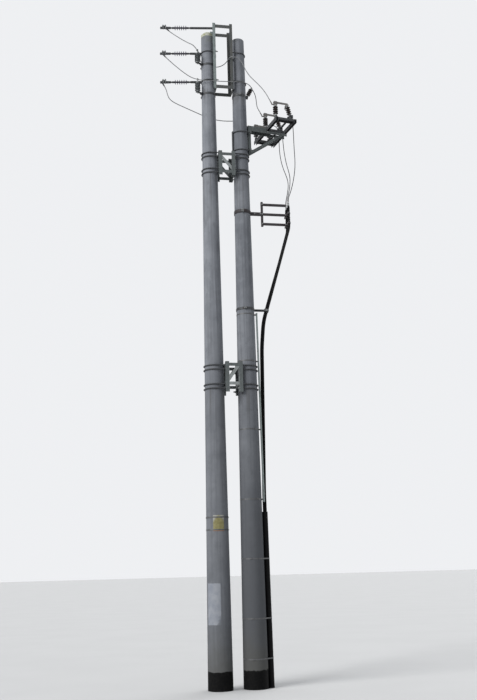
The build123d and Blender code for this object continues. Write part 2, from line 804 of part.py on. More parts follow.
# Cable frame with three level bars, cable ends, cables, guard
with BuildPart() as cable_frame:
    height = cable_frame_z[-1] - cable_frame_z[0] + 2 * cable_frame_margin
    with Locations((cable_frame_x[0], 0, (cable_frame_z[0] + cable_frame_z[-1]) / 2)):
        Box(cable_frame_bar, cable_frame_bar, height)
    bar_length = cable_frame_x[1] - cable_frame_x[0]
    for z in cable_frame_z:
        with Locations((cable_frame_x[0], 0, z)):
            Box(bar_length, cable_frame_bar, cable_frame_bar, align=(Align.MIN, Align.CENTER, Align.CENTER))
    for z in cable_head_levels:
        with Locations((cable_frame_x[1], 0, z)):
            Box(cable_head_thickness, cable_head_width, cable_frame_bar,
                align=(Align.MIN, Align.CENTER, Align.CENTER))
save(cable_frame.part, "cable_frame")

with BuildPart() as cable_frame_arm:
    arm_z = cable_frame_z[1]
    band_thickness, band_height = cable_arm_band
    start = column_spacing + column_radius(arm_z) + band_thickness / 2
    with Locations((column_spacing, 0, arm_z)):
        ring(column_radius(arm_z - band_height), band_thickness, band_height)
    with Locations((start, 0, arm_z)):
        length = cable_frame_x[0] - cable_frame_bar / 2 - start - seat_gap
        Box(length, cable_arm_height, cable_arm_height, align=(Align.MIN, Align.CENTER, Align.CENTER))
save(cable_frame_arm.part, "cable_frame_arm")

termination_x = cable_frame_x[1] + cable_head_thickness + seat_gap + termination_d / 2
termination_ys = (-termination_spread, 0, termination_spread)
with BuildPart() as cable_terminations:
    for y in termination_ys:
        with Locations((termination_x, y, termination_z[0])):
            Cylinder(termination_d / 2, termination_z[1] - termination_z[0], align=BASE)
        with Locations((termination_x, y, termination_z[1])):
            Cylinder(termination_stud_d / 2, termination_stud_height, align=BASE)
save(cable_terminations.part, "cable_terminations")


def guard_axis(z):
    """The guard leans with the column's taper, seated along its right side."""
    return column_spacing + column_radius(z) + seat_gap + guard_d / 2


def add_leaning_cylinder(radius, mode):
    """A cylinder that follows the column's side from the ground to the guard's top."""
    with BuildSketch(Plane.XY) as foot:
        with Locations((guard_axis(0), 0)):
            Circle(radius)
    with BuildSketch(Plane.XY.offset(guard_top_z)) as top:
        with Locations((guard_axis(guard_top_z), 0)):
            Circle(radius)
    loft(Sketch() + [foot.sketch, top.sketch], mode=mode)


with BuildPart() as cable_guard:
    add_leaning_cylinder(guard_d / 2, Mode.ADD)
    add_leaning_cylinder(guard_d / 2 - guard_wall, Mode.SUBTRACT)
save(cable_guard.part, "cable_guard")

# The three cables lie in a triangle from the meeting point down to the ground
bundle_radius = cable_pitch / sqrt(3)
bundle_offsets = [
    (cable_pitch / 2, -bundle_radius / 2),
    (-cable_pitch / 2, -bundle_radius / 2),
    (0, bundle_radius),
]
cleat_x = guard_axis(0) + cable_bracket_reach
slant = (termination_x - cleat_x) / (cable_knee_z - cable_bracket_z)


def slanted_x(z):
    """The bundle's axis on the slanted stretch below the knee."""
    return termination_x - slant * (cable_knee_z - z)


bundle = [
    (slanted_x(cable_meet_z), cable_meet_z),
    (slanted_x(cable_bend_z), cable_bend_z),
    cable_side,
    (guard_axis(cable_entry_z), cable_entry_z),
    (guard_axis(cable_foot_z), cable_foot_z),
]
for k, (y, (dx, dy)) in enumerate(zip(termination_ys, bundle_offsets)):
    points = [(termination_x, y, termination_z[0] - seat_gap), (termination_x, y, cable_knee_z)]
    points += [(x + dx, dy, z) for x, z in bundle]
    with BuildPart() as cable:
        with BuildLine() as path:
            FilletPolyline(*points, radius=cable_radii)
        with BuildSketch(Plane(origin=points[0], z_dir=(0, 0, -1))) as section:
            Circle(cable_d / 2)
        sweep(section.sketch, path=path.line)
    save(cable.part, f"cable_phase_{k + 1}")

cleat_tilt = degrees(atan2(slant, 1))
cleat_inner = bundle_radius + cable_d / 2 + seat_gap
with BuildPart() as cable_bracket:
    band_thickness, band_height = cable_bracket_band
    arm_width, arm_thickness = cable_bracket_arm
    start = column_spacing + column_radius(cable_bracket_z) + band_thickness / 2
    with Locations((column_spacing, 0, cable_bracket_z)):
        ring(column_radius(cable_bracket_z - band_height), band_thickness, band_height)
    with Locations((start, 0, cable_bracket_z)):
        Box(cleat_x - start, arm_thickness, arm_width, align=(Align.MIN, Align.CENTER, Align.CENTER))
        Box(cleat_x - start, arm_width, arm_thickness, align=(Align.MIN, Align.CENTER, Align.CENTER))
    with Locations(Location((cleat_x, 0, cable_bracket_z), (0, cleat_tilt, 0))):
        Cylinder(cleat_inner + cable_cleat_wall, cable_cleat_height)
        Cylinder(cleat_inner, 2 * cable_cleat_height, mode=Mode.SUBTRACT)
save(cable_bracket.part, "cable_bracket")


# Straps: bands round the column, or round the column and the guard together
def strap_outline(z, gap):
    """Outline round the column and the guard, at a gap from both."""
    big = column_radius(z) + gap
    small = guard_d / 2 + gap
    distance = guard_axis(z) - column_spacing
    lean_angle = asin((big - small) / distance)
    tangent = (sin(lean_angle), cos(lean_angle))
    corners = [(big * tangent[0], side * big * tangent[1]) for side in (1, -1)]
    corners += [(distance + small * tangent[0], side * small * tangent[1]) for side in (-1, 1)]
    with BuildSketch(Plane(origin=(column_spacing, 0, z))) as outline:
        Circle(big)
        with Locations((distance, 0)):
            Circle(small)
        with BuildLine():
            Polyline(*corners, close=True)
        make_face()
    return outline.sketch


with BuildPart() as guard_straps:
    for z in guard_strap_levels:
        band = extrude(strap_outline(z, seat_gap + strap_thickness), strap_width, mode=Mode.PRIVATE)
        hole = extrude(strap_outline(z, seat_gap), strap_width, mode=Mode.PRIVATE)
        add(band - hole)
save(guard_straps.part, "guard_straps")

rail_turn = radians(rail_angle)


def rail_point(z, offset):
    """A point beside the right column, on the rail's side, at a distance from its surface."""
    reach = column_radius(z) + offset
    return Vector(column_spacing + reach * cos(rail_turn), reach * sin(rail_turn), z)


with BuildPart() as rail_straps:
    for z in rail_strap_levels:
        with Locations((column_spacing, 0, z)):
            ring(column_radius(z - strap_width), strap_thickness, strap_width)
        clip = rail_stand_off - rail_clip_inset
        with Locations(Location(rail_point(z, rail_clip_inset), (0, 0, rail_angle))):
            Box(clip - rail_clip_play, rail_clip_width, strap_width,
                align=(Align.MIN, Align.CENTER, Align.CENTER))
save(rail_straps.part, "rail_straps")

with BuildPart() as cable_rail:
    low, high = (rail_point(z, rail_stand_off + rail_width / 2) for z in cable_rail_z)
    with BuildSketch(Plane(origin=low, x_dir=(cos(rail_turn), sin(rail_turn), 0), z_dir=high - low)):
        Rectangle(rail_width, rail_thickness)
    extrude(amount=(high - low).length)
save(cable_rail.part, "cable_rail")

# Sign plate on the left column and its straps
sign_turn = radians(sign_angle)
sign_radius = column_radius(sign_z) + seat_gap
sign_half_angle = sign_width / 2 / sign_radius
with BuildPart() as sign_plate:
    with BuildSketch(Plane.XY.offset(sign_z)):
        Circle(sign_radius + sign_thickness)
        Circle(sign_radius, mode=Mode.SUBTRACT)
        with BuildLine():
            reach = 2 * sign_radius
            first = sign_turn - sign_half_angle
            last = sign_turn + sign_half_angle
            Polyline(
                (0, 0),
                (reach * cos(first), reach * sin(first)),
                (reach * cos(last), reach * sin(last)),
                close=True,
            )
        make_face(mode=Mode.INTERSECT)
    extrude(amount=sign_height)
save(sign_plate.part, "sign_plate")

with BuildPart() as sign_straps:
    for z in sign_strap_levels:
        with Locations((0, 0, z)):
            ring(sign_radius + sign_thickness, strap_thickness, strap_width)
save(sign_straps.part, "sign_straps")


# Jumpers and leads: straight runs joined by arcs as large as the runs allow
def make_cord(node, points, diameter):
    points = [Vector(p) for p in points]
    runs = [b - a for a, b in zip(points, points[1:])]
    radii = []
    for a, b in zip(runs, runs[1:]):
        half_turn = radians(a.get_angle(b)) / 2
        radii.append(arc_share * min(a.length, b.length) / tan(half_turn))
    with BuildPart() as cord:
        with BuildLine() as path:
            FilletPolyline(*points, radius=radii)
        with BuildSketch(Plane(origin=points[0], z_dir=runs[0])) as section:
            Circle(diameter / 2)
        sweep(section.sketch, path=path.line)
    length = sum(edge.length for edge in path.line.edges())
    volume = length * section.sketch.area
    print(node, f"length {length:.0f}, volume {cord.part.volume / volume:.4f} of section x length")
    print("  runs", [round(r.length) for r in runs])
    print("  radii", [round(r) for r in radii])
    save(cord.part, node)


def chosen(points, x_from=0):
    """Chosen points of a route: heights are measured from the columns' top, x from x_from."""
    return [Vector(x_from + x, y, column_height + z) for x, y, z in points]


def grip_points(k):
    """The straight run through an arrester's clamp."""
    half = grip_directions[k] * (grip_run / 2)
    return [grips[k] - half, grips[k] + half]


def barrel_points(k):
    """The straight run that ends at the barrel of a fixed contact."""
    angle = radians(switch_barrel_angles[k])
    out = Vector(-cos(angle), 0, sin(angle))
    mouth = Vector(barrel_x, phases[k], barrel_z) + out * (switch_barrel_length + grip_play)
    return [switch_plane.from_local_coords(mouth + out * run) for run in (barrel_run, 0)]


top_route = [top_tail, top_tail + top_tail_dir * tail_run]
top_route += chosen([(-540, -32, -68), (-440, -64, -152), (-345, -96, -220)])
top_route += grip_points(1)
top_route += chosen([
    (-138, 50, -438),
    (-85, 130, -460),
    (10, 162, -480),
    (115, 168, -492),
    (215, 150, -498),
    (290, 70, -498),
    (334, -30, -490),
    (348, -130, -482),
    (388, -192, -480),
])
top_route += chosen([
    (-65, -203, -494),
    (8, -202, -550),
    (52, -206, -638),
    (92, -218, -748),
    (150, -240, -860),
    (220, -263, -950),
    (292, -286, -1038),
    (357, -308, -1130),
    (412, -330, -1232),
], column_spacing)
top_route += barrel_points(0)
make_cord("jumper_line_top", top_route, jumper_d)

post_ride = post_length + jumper_d / 2 + grip_play
post_points = [
    post_plane.from_local_coords(Vector(side * post_grip[0], side * post_grip[1], post_ride))
    for side in (-1, 1)
]
middle_route = [middle_tail, middle_tail + middle_tail_dir * tail_run]
middle_route += chosen([(-610, -8, -595), (-505, -22, -695), (-395, -38, -790)])
middle_route += grip_points(0)
middle_route += chosen([
    (-10, -160, -952),
    (105, -168, -958),
    (220, -167, -956),
    (335, -163, -949),
])
middle_route += chosen([
    (-90, -163, -942),
    (15, -155, -936),
    (110, -120, -930),
], column_spacing)
middle_route += post_points
middle_route += chosen([
    (308, 92, -1020),
    (328, 112, -1110),
    (332, 106, -1210),
    (345, 99, -1276),
], column_spacing)
middle_route += barrel_points(1)
make_cord("jumper_line_middle", middle_route, jumper_d)

lower_route = [lower_tail, lower_tail + lower_tail_dir * tail_run]
lower_route += chosen([
    (-718, 4, -1165),
    (-690, 12, -1240),
    (-640, 22, -1288),
    (-560, 34, -1325),
    (-465, 50, -1358),
    (-365, 70, -1388),
    (-265, 94, -1415),
    (-165, 120, -1442),
    (-65, 146, -1467),
    (40, 168, -1490),
    (150, 184, -1508),
    (260, 190, -1516),
    (370, 190, -1514),
])
lower_route += chosen([
    (-70, 190, -1506),
    (20, 196, -1496),
    (93, 246, -1484),
    (132, 325, -1470),
    (158, 408, -1453),
    (188, 478, -1433),
], column_spacing)
lower_route += barrel_points(2)
make_cord("jumper_line_lower", lower_route, jumper_d)

# The leads leave the moving contacts sideways, clear of their swing, and drop outside the beam
lead_start = [
    (0, 44, 0.8),
    (21, 84, 0),
    (61, 108, -12),
    (112, 115, -42),
    (145, 111, -97),
    (160, 103, -175),
    (164, 90, -268),
]
lead_ends = [
    [
        (918, -121, -1842),
        (917, -124, -2003),
        (918, -124, -2120),
        (922, -121, -2230),
        (925, -118, -2340),
        (922, -113, -2450),
        (911, -108, -2560),
        (892, -104, -2670),
        (868, -102, -2780),
        (839, -101, -2885),
        (807, -100.4, -2975),
    ],
    [
        (831, 296, -1835),
        (832, 263, -1988),
        (836, 230, -2110),
        (844, 200, -2225),
        (858, 170, -2340),
        (875, 140, -2450),
        (882, 110, -2560),
        (872, 82, -2670),
        (853, 56, -2780),
        (829, 33, -2885),
        (803, 13, -2975),
    ],
    [
        (799, 466, -1810),
        (800, 450, -1950),
        (805, 420, -2070),
        (816, 388, -2190),
        (839, 358, -2310),
        (869, 330, -2425),
        (890, 300, -2540),
        (885, 266, -2655),
        (862, 230, -2770),
        (833, 190, -2880),
        (804, 146, -2975),
    ],
]
palm_height = blade_mount + switch_palm_thickness / 2
palm = Vector(switch_shaft_x - palm_height * sin(lean), 0, shaft_z + palm_height * cos(lean))
for k, (side, ends) in enumerate(zip(switch_lead_sides, lead_ends)):
    face = palm + Vector(0, phases[k] + side * (switch_palm_reach + grip_play), 0)
    route = [face] + [face + Vector(x, side * y, z) for x, y, z in lead_start]
    route = [switch_plane.from_local_coords(p) for p in route] + chosen(ends, column_spacing)
    stud_top = termination_z[1] + termination_stud_height + grip_play
    route += [(termination_x, termination_ys[k], stud_top + run) for run in (stud_run, 0)]
    make_cord(f"lead_{k + 1}", route, lead_d)
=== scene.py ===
"""Twin concrete utility pole: looks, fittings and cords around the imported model."""
from math import atan2, cos, pi, radians, sin, sqrt, tau

import bmesh
import bpy
from mathutils import Matrix, Vector, noise


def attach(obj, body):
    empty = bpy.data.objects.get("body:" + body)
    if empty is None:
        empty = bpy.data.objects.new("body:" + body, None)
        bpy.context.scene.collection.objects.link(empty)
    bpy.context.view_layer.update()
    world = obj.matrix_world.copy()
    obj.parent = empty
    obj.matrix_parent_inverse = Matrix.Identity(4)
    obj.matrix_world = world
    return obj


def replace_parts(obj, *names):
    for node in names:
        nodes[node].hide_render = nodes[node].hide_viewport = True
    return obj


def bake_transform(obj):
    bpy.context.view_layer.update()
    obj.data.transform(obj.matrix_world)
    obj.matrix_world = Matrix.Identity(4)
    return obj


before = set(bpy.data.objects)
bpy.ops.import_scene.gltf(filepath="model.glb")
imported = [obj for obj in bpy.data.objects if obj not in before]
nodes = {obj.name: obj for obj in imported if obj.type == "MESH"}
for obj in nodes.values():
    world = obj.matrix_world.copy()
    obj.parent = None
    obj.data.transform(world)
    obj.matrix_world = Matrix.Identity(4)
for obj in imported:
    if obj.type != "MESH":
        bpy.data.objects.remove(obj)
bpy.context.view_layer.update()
MM = 0.001
scene = bpy.context.scene

# Camera
CAMERA_AT = (-2.245, -14.189, 1.77)
YAW, PITCH, ROLL = radians(10.59), radians(13.421), radians(-1.562)
FOCAL_PIXELS, LONG_SIDE = 911.4, 700
forward = Vector((sin(YAW) * cos(PITCH), cos(YAW) * cos(PITCH), sin(PITCH)))
level = Vector((cos(YAW), -sin(YAW), 0))
up = level.cross(forward)
right = level * cos(ROLL) + up * sin(ROLL)
up = up * cos(ROLL) - level * sin(ROLL)
camera_data = bpy.data.cameras.new("camera")
camera_data.sensor_width = 36
camera_data.lens = FOCAL_PIXELS / LONG_SIDE * camera_data.sensor_width
camera_data.clip_end = 200
camera = bpy.data.objects.new("camera", camera_data)
scene.collection.objects.link(camera)
camera.matrix_world = Matrix.Translation(CAMERA_AT) @ Matrix((right, up, -forward)).transposed().to_4x4()
scene.camera = camera
scene.view_settings.view_transform = "Standard"


# Materials, by name
looks = {}


def tint(colour, factor):
    """A colour made darker or paler."""
    return tuple(min(1, c * factor) for c in colour)


class Look:
    """A principled material built from nodes, with coordinates of the model in metres."""

    def __init__(self, name, roughness=0.6, metallic=0.0, **sockets):
        looks[name] = bpy.data.materials.new(name)
        looks[name].use_nodes = True
        self.tree = looks[name].node_tree
        self.shader = self.tree.nodes["Principled BSDF"]
        self.shader.inputs["Metallic"].default_value = metallic
        self.set("Roughness", roughness)
        for socket, value in sockets.items():
            self.shader.inputs[socket.replace("_", " ")].default_value = value
        self.where = self.node("ShaderNodeTexCoord").outputs["Object"]
        self.bumps = None

    def node(self, kind, *links, **settings):
        made = self.tree.nodes.new(kind)
        for key, value in settings.items():
            setattr(made, key, value)
        for index, value in links:
            self.link(made.inputs[index], value)
        return made

    def link(self, socket, value):
        if isinstance(value, bpy.types.NodeSocket):
            self.tree.links.new(value, socket)
        elif isinstance(value, (tuple, list)) and len(value) == 3 and socket.type == "RGBA":
            socket.default_value = (*value, 1)
        else:
            socket.default_value = value

    def set(self, socket, value):
        self.link(self.shader.inputs[socket], value)

    def math(self, operation, a, b=0.0):
        return self.node("ShaderNodeMath", (0, a), (1, b), operation=operation).outputs[0]

    def times(self, a, b):
        return self.math("MULTIPLY", a, b)

    def plus(self, a, b):
        return self.math("ADD", a, b)

    def axes(self):
        return self.node("ShaderNodeSeparateXYZ", (0, self.where)).outputs

    def stretched(self, scale, offset=(0, 0, 0)):
        return self.node("ShaderNodeMapping", (0, self.where), (1, offset), (3, scale)).outputs[0]

    def noise(self, scale, detail=4, roughness=0.55, where=None):
        return self.node("ShaderNodeTexNoise", ("Vector", where or self.where), ("Scale", scale),
                         ("Detail", detail), ("Roughness", roughness)).outputs[0]

    def cells(self, scale, output="Distance"):
        return self.node("ShaderNodeTexVoronoi", ("Vector", self.where), ("Scale", scale)).outputs[output]

    def band(self, value, low, high, to_low=0.0, to_high=1.0):
        """Maps low..high to to_low..to_high, smoothly and clamped."""
        made = self.node("ShaderNodeMapRange", (0, value), (1, low), (2, high), (3, to_low), (4, to_high),
                         interpolation_type="SMOOTHSTEP")
        return made.outputs[0]

    def mix(self, factor, a, b):
        made = self.node("ShaderNodeMix", data_type="RGBA")
        self.link(made.inputs[0], factor)
        self.link(made.inputs[6], a)
        self.link(made.inputs[7], b)
        return made.outputs[2]

    def bump(self, height, distance, strength):
        made = self.node("ShaderNodeBump", ("Height", height), ("Distance", distance), ("Strength", strength))
        if self.bumps is not None:
            self.tree.links.new(self.bumps, made.inputs["Normal"])
        self.bumps = made.outputs[0]
        self.tree.links.new(self.bumps, self.shader.inputs["Normal"])


def concrete(name, light, dark, left):
    """Weathered spun concrete: patches, rain streaks, pores, a bitumen foot coat."""
    look = Look(name, Specular_IOR_Level=0.08)
    x, y, z = look.axes()
    patches = look.noise(1.6, 5)
    colour = look.mix(look.band(patches, 0.35, 0.66), dark, light)
    streaks = look.noise(1.0, 6, 0.65, look.stretched((26, 26, 0.55)))
    colour = look.mix(look.band(streaks, 0.42, 0.7, 0, 0.55), colour, tint(dark, 0.62))
    washed = look.noise(1.0, 4, 0.5, look.stretched((17, 17, 0.3), (3, 1, 2)))
    colour = look.mix(look.band(washed, 0.55, 0.75, 0, 0.5), colour, tint(light, 1.35))
    blotches = look.noise(1.0, 6, 0.62, look.stretched((7, 7, 4.5), (5, 2, 8)))
    colour = look.mix(look.band(blotches, 0.50, 0.70, 0, 0.45), colour, tint(dark, 0.6))
    colour = look.mix(look.band(blotches, 0.46, 0.30, 0, 0.30), colour, tint(light, 1.25))
    grain = look.noise(210, 3, 0.7)
    colour = look.mix(look.band(grain, 0.3, 0.7, 0, 0.28), colour, tint(dark, 0.75))
    # Dirt that runs down from each set of bolts
    for top, drop in ((8.23, 0.75), (4.52, 0.6), (9.80, 0.3)):
        below = look.times(look.band(z, top - drop, top - 0.02), look.band(z, top, top + 0.02, 1, 0))
        drip = look.times(below, look.band(streaks, 0.46, 0.62))
        colour = look.mix(look.times(drip, 0.55), colour, (0.10, 0.095, 0.09))
    # A little algae at the rim, a tone that darkens towards the bottom, splashed soil at the foot
    ragged = look.plus(z, look.times(look.noise(5, 4), 0.7))
    colour = look.mix(look.band(ragged, 11.15, 11.4, 0, 0.5), colour, (0.15, 0.155, 0.095))
    # The columns are made darker towards the bottom, the right one more strongly
    lower_darkening = tint(light, 0.36)
    bands = ((4.2, 7.0, 0.43), (0.2, 3.4, 0.50)) if left else ((1.4, 6.6, 0.97),)
    for low, high, amount in bands:
        colour = look.mix(look.band(ragged, low, high, amount, 0), colour, lower_darkening)
    colour = look.mix(look.band(ragged, 0.50, 1.45, 0.55, 0), colour, (0.075, 0.073, 0.062))
    if left:
        # Pale mortar of the plug, smeared over the rim, with moss on it
        smear = look.plus(z, look.times(look.noise(26, 4, 0.6), 0.03))
        mossy = look.band(look.noise(24, 6, 0.65), 0.42, 0.68)
        mortar = look.mix(mossy, (0.42, 0.42, 0.355), (0.24, 0.25, 0.12))
        colour = look.mix(look.band(smear, 10.864, 10.872), colour, mortar)
        # A patch of pale paint, worn at its edges and at the lower right
        around = look.math("ARCTAN2", y, x)
        edge = look.times(look.math("SUBTRACT", look.noise(34, 5, 0.7), 0.5), 0.10)
        angle = look.plus(around, edge)
        height = look.plus(z, look.times(edge, 0.25))
        inside = look.times(look.band(angle, -2.90, -2.84), look.band(angle, -1.60, -1.54, 1, 0))
        inside = look.times(inside, look.band(height, 0.935, 0.950))
        inside = look.times(inside, look.band(height, 1.540, 1.555, 1, 0))
        corner = look.math("SUBTRACT", look.times(look.plus(angle, 1.57), 0.55),
                           look.math("SUBTRACT", height, 0.94))
        wear = look.plus(corner, look.times(look.noise(15, 5, 0.7), 0.5))
        worn = look.times(inside, look.band(wear, 0.02, 0.2, 1, 0.25))
        paint = look.mix(look.band(look.noise(7, 4), 0.35, 0.7), (0.192, 0.206, 0.234), (0.25, 0.26, 0.28))
        colour = look.mix(worn, colour, paint)
    coat_line = look.plus(z, look.times(look.noise(13, 4, 0.6), 0.06))
    coat = look.band(coat_line, 0.295, 0.312, 1, 0)
    dusty = look.band(look.noise(30, 4), 0.4, 0.7)
    bitumen = look.mix(dusty, (0.003, 0.003, 0.0032), (0.0062, 0.006, 0.0058))
    colour = look.mix(coat, colour, bitumen)
    look.set("Base Color", colour)
    look.set("Roughness", look.band(coat, 0, 1, 0.88, 0.72))
    pores = look.band(look.cells(75), 0.03, 0.16)
    look.bump(pores, 0.0012, 0.5)
    look.bump(grain, 0.0010, 0.5)
    look.bump(look.noise(9, 5, 0.6), 0.004, 0.5)


def weathered_metal(name, colour, stain, roughness, metallic, amount, scale, spangle=0.0,
                    boxes=(), light_and_shade_colours=None):
    """Metal with dull patches, stains in streaks and, where galvanised, a zinc spangle.

    Boxes (x from, x to, z from, z to) hold the bars of a frame that are painted darker as shade, or paler as
    light, than the rest.
    """
    look = Look(name, metallic=metallic)
    dull = look.band(look.noise(18 * scale, 5), 0.35, 0.68)
    body = look.mix(dull, tint(colour, 0.78), colour)
    if spangle:
        flakes = look.cells(95, output="Color")
        tone = look.node("ShaderNodeSeparateColor", (0, flakes)).outputs[0]
        body = look.mix(look.band(tone, 0.1, 0.9, 0, spangle), body, tint(colour, 1.5))
    streak = look.noise(1.0, 6, 0.7, look.stretched((60 * scale, 60 * scale, 9 * scale)))
    stained = look.band(streak, 0.50, 0.68, 0, amount)
    body = look.mix(stained, body, stain)
    x, _, z = look.axes()
    for x_low, x_high, z_low, z_high in boxes:
        within = look.times(look.math("GREATER_THAN", x, x_low), look.math("LESS_THAN", x, x_high))
        within = look.times(within, look.math("GREATER_THAN", z, z_low))
        within = look.times(within, look.math("LESS_THAN", z, z_high))
        other = look.mix(look.band(streak, 0.4, 0.65), *light_and_shade_colours)
        body = look.mix(within, body, other)
    grit = look.noise(420, 2, 0.6)
    look.set("Base Color", body)
    look.set("Roughness", look.band(stained, 0, amount, roughness, min(0.92, roughness + 0.25)))
    look.bump(grit, 0.0004, 0.5)
    look.bump(look.noise(60, 4), 0.0006, 0.6)


def polymer(name, colour, dust, roughness, shine):
    """Silicone or polyethylene with dust on it and a faint mottle."""
    look = Look(name, Specular_IOR_Level=shine)
    body = look.mix(look.band(look.noise(30, 5), 0.3, 0.7), tint(colour, 0.75), colour)
    dusty = look.band(look.noise(1.0, 6, 0.7, look.stretched((45, 45, 12))), 0.45, 0.75, 0, 0.55)
    look.set("Base Color", look.mix(dusty, body, dust))
    look.set("Roughness", look.band(dusty, 0, 0.55, roughness, min(1, roughness + 0.3)))
    look.bump(look.noise(260, 3), 0.0004, 0.4)


def porcelain(name, colour, dust):
    """Brown glazed porcelain: deep gloss, a little uneven, dusty on top."""
    look = Look(name, roughness=0.16, Coat_Weight=0.6, Coat_Roughness=0.08)
    body = look.mix(look.band(look.noise(24, 4), 0.3, 0.75), colour, tint(colour, 1.7))
    dusty = look.band(look.noise(70, 5, 0.7), 0.52, 0.8, 0, 0.3)
    look.set("Base Color", look.mix(dusty, body, dust))
    look.set("Roughness", look.band(dusty, 0, 0.3, 0.16, 0.5))
    look.bump(look.noise(16, 3), 0.0015, 0.3)


def enamel_plate(name):
    """Bare sign plate: faded yellow enamel, paler at the top corners, rusty along the bottom."""
    look = Look(name, roughness=0.5)
    x, _, z = look.axes()
    body = look.mix(look.band(look.noise(22, 5), 0.3, 0.7), (0.152, 0.135, 0.047), (0.22, 0.20, 0.085))
    bleached = look.plus(z, look.times(look.noise(12, 4), 0.10))
    side = look.math("ABSOLUTE", look.plus(x, 0.006))
    corner = look.plus(bleached, look.times(side, 1.3))
    body = look.mix(look.band(corner, 2.585, 2.68, 0, 0.85), body, (0.30, 0.305, 0.29))
    rusty = look.plus(z, look.times(look.noise(40, 5, 0.7), 0.05))
    body = look.mix(look.band(rusty, 2.350, 2.372, 0.8, 0), body, (0.24, 0.10, 0.06))
    chips = look.band(look.noise(150, 3, 0.7), 0.63, 0.68)
    body = look.mix(chips, body, (0.17, 0.10, 0.06))
    look.set("Base Color", body)
    look.bump(chips, 0.0004, 0.6)
    look.bump(look.noise(35, 3), 0.001, 0.3)


def mossy_mortar(name):
    """Mortar of the left column's plug, with moss on it."""
    look = Look(name, roughness=0.95)
    clumps = look.noise(24, 6, 0.65)
    body = look.mix(look.band(clumps, 0.35, 0.65), (0.38, 0.385, 0.31), (0.22, 0.23, 0.10))
    body = look.mix(look.band(look.noise(90, 4), 0.45, 0.75, 0, 0.6), body, (0.48, 0.48, 0.42))
    look.set("Base Color", body)
    look.bump(look.noise(160, 4, 0.7), 0.003, 0.8)
    look.bump(clumps, 0.006, 0.7)


def matte_floor(name, colour):
    """A plain matte floor, a little uneven in tone."""
    look = Look(name, roughness=0.95)
    tone = look.band(look.noise(0.6, 3), 0.3, 0.7)
    look.set("Base Color", look.mix(tone, colour, tint(colour, 0.97)))


# Rails and posts of the head frame painted dark as shade, and diagonals of the two braces painted pale as
# light
SHADED_BARS = ((0.118, 0.372, 9.820, 9.900), (0.118, 0.372, 10.995, 11.070), (0.372, 0.435, 9.70, 11.20))
LIT_BARS = ((0.192, 0.348, 8.312, 8.564), (0.212, 0.377, 4.500, 4.903))
concrete("concrete_left", (0.240, 0.250, 0.270), (0.178, 0.187, 0.205), True)
concrete("concrete_right", (0.208, 0.217, 0.235), (0.150, 0.158, 0.174), False)
# Name, colour, stain, roughness, metallic, how much stain, how fine its streaks are
# Zinc of the head frame, with painted shade on its rails and inner post in the gap
weathered_metal("zinc", (0.185, 0.215, 0.21), (0.085, 0.088, 0.08), 0.55, 0.3, 0.65, 1.0, spangle=0.35,
                boxes=SHADED_BARS, light_and_shade_colours=((0.055, 0.062, 0.062), (0.085, 0.082, 0.075)))
# Zinc of the braces and the switch bracket, darkened all over as painted shade, with painted light on the
# braces' diagonals
weathered_metal("shaded_brace_zinc", (0.095, 0.108, 0.108), (0.06, 0.055, 0.05), 0.6, 0.3, 0.6, 1.0, spangle=0.25,
                boxes=LIT_BARS, light_and_shade_colours=((0.24, 0.26, 0.26), (0.17, 0.175, 0.17)))
weathered_metal("dark_steel", (0.048, 0.052, 0.056), (0.06, 0.038, 0.028), 0.6, 0.3, 0.55, 1.0)
weathered_metal("frame_steel", (0.028, 0.024, 0.027), (0.05, 0.026, 0.024), 0.65, 0.2, 0.7, 1.0)
# Stainless steel straps, buckles and rivets, darkened all over as painted shade
weathered_metal("strap", (0.11, 0.112, 0.115), (0.055, 0.05, 0.046), 0.5, 0.5, 0.7, 2.0)
weathered_metal("bolt_zinc", (0.26, 0.275, 0.275), (0.13, 0.09, 0.065), 0.5, 0.4, 0.75, 3.0)
weathered_metal("contact", (0.19, 0.18, 0.17), (0.085, 0.10, 0.09), 0.45, 0.6, 0.6, 2.5)
weathered_metal("conductor", (0.22, 0.225, 0.23), (0.11, 0.11, 0.108), 0.5, 0.5, 0.6, 2.5)
# Name, colour, dust, roughness, shine
polymer("sheds", (0.055, 0.051, 0.072), (0.115, 0.11, 0.122), 0.48, 0.4)
polymer("grey_sheds", (0.115, 0.125, 0.13), (0.17, 0.17, 0.165), 0.5, 0.4)
polymer("black", (0.0045, 0.0045, 0.0052), (0.013, 0.0125, 0.012), 0.6, 0.1)
porcelain("glaze", (0.015, 0.0105, 0.0095), (0.085, 0.08, 0.075))
enamel_plate("enamel")
mossy_mortar("moss")
matte_floor("floor", (0.53, 0.53, 0.525))


# Mesh helpers, in millimetres
def move(x, y, z):
    return Matrix.Translation((x, y, z))


def spin(angle, axis):
    return Matrix.Rotation(angle, 4, axis)


def place(origin, z_dir, x_dir=None):
    """Matrix whose local z runs along z_dir."""
    z = Vector(z_dir).normalized()
    x = Vector(x_dir) if x_dir else (Vector((1, 0, 0)) if abs(z.x) < 0.9 else Vector((0, 1, 0)))
    x = (x - z * x.dot(z)).normalized()
    made = Matrix((x, z.cross(x), z)).transposed().to_4x4()
    made.translation = Vector(origin)
    return made


def lathe(bm, matrix, profile, segments=32):
    """Turns a profile of (radius, height) points round local z."""
    rings = []
    for r, z in profile:
        if r < 1e-6:
            rings.append([bm.verts.new(matrix @ Vector((0, 0, z)))])
            continue
        turns = [tau * k / segments for k in range(segments)]
        rings.append([bm.verts.new(matrix @ Vector((r * cos(a), r * sin(a), z))) for a in turns])
    for low, high in zip(rings, rings[1:]):
        for k in range(segments):
            n = (k + 1) % segments
            if len(low) == 1:
                bm.faces.new((low[0], high[n], high[k]))
            elif len(high) == 1:
                bm.faces.new((low[k], low[n], high[0]))
            else:
                bm.faces.new((low[k], low[n], high[n], high[k]))


def rod(bm, matrix, radius, length, edge=1.0, segments=20):
    """A round bar with chamfered ends."""
    lathe(bm, matrix, [(0, 0), (radius - edge, 0), (radius, edge), (radius, length - edge),
                       (radius - edge, length), (0, length)], segments)


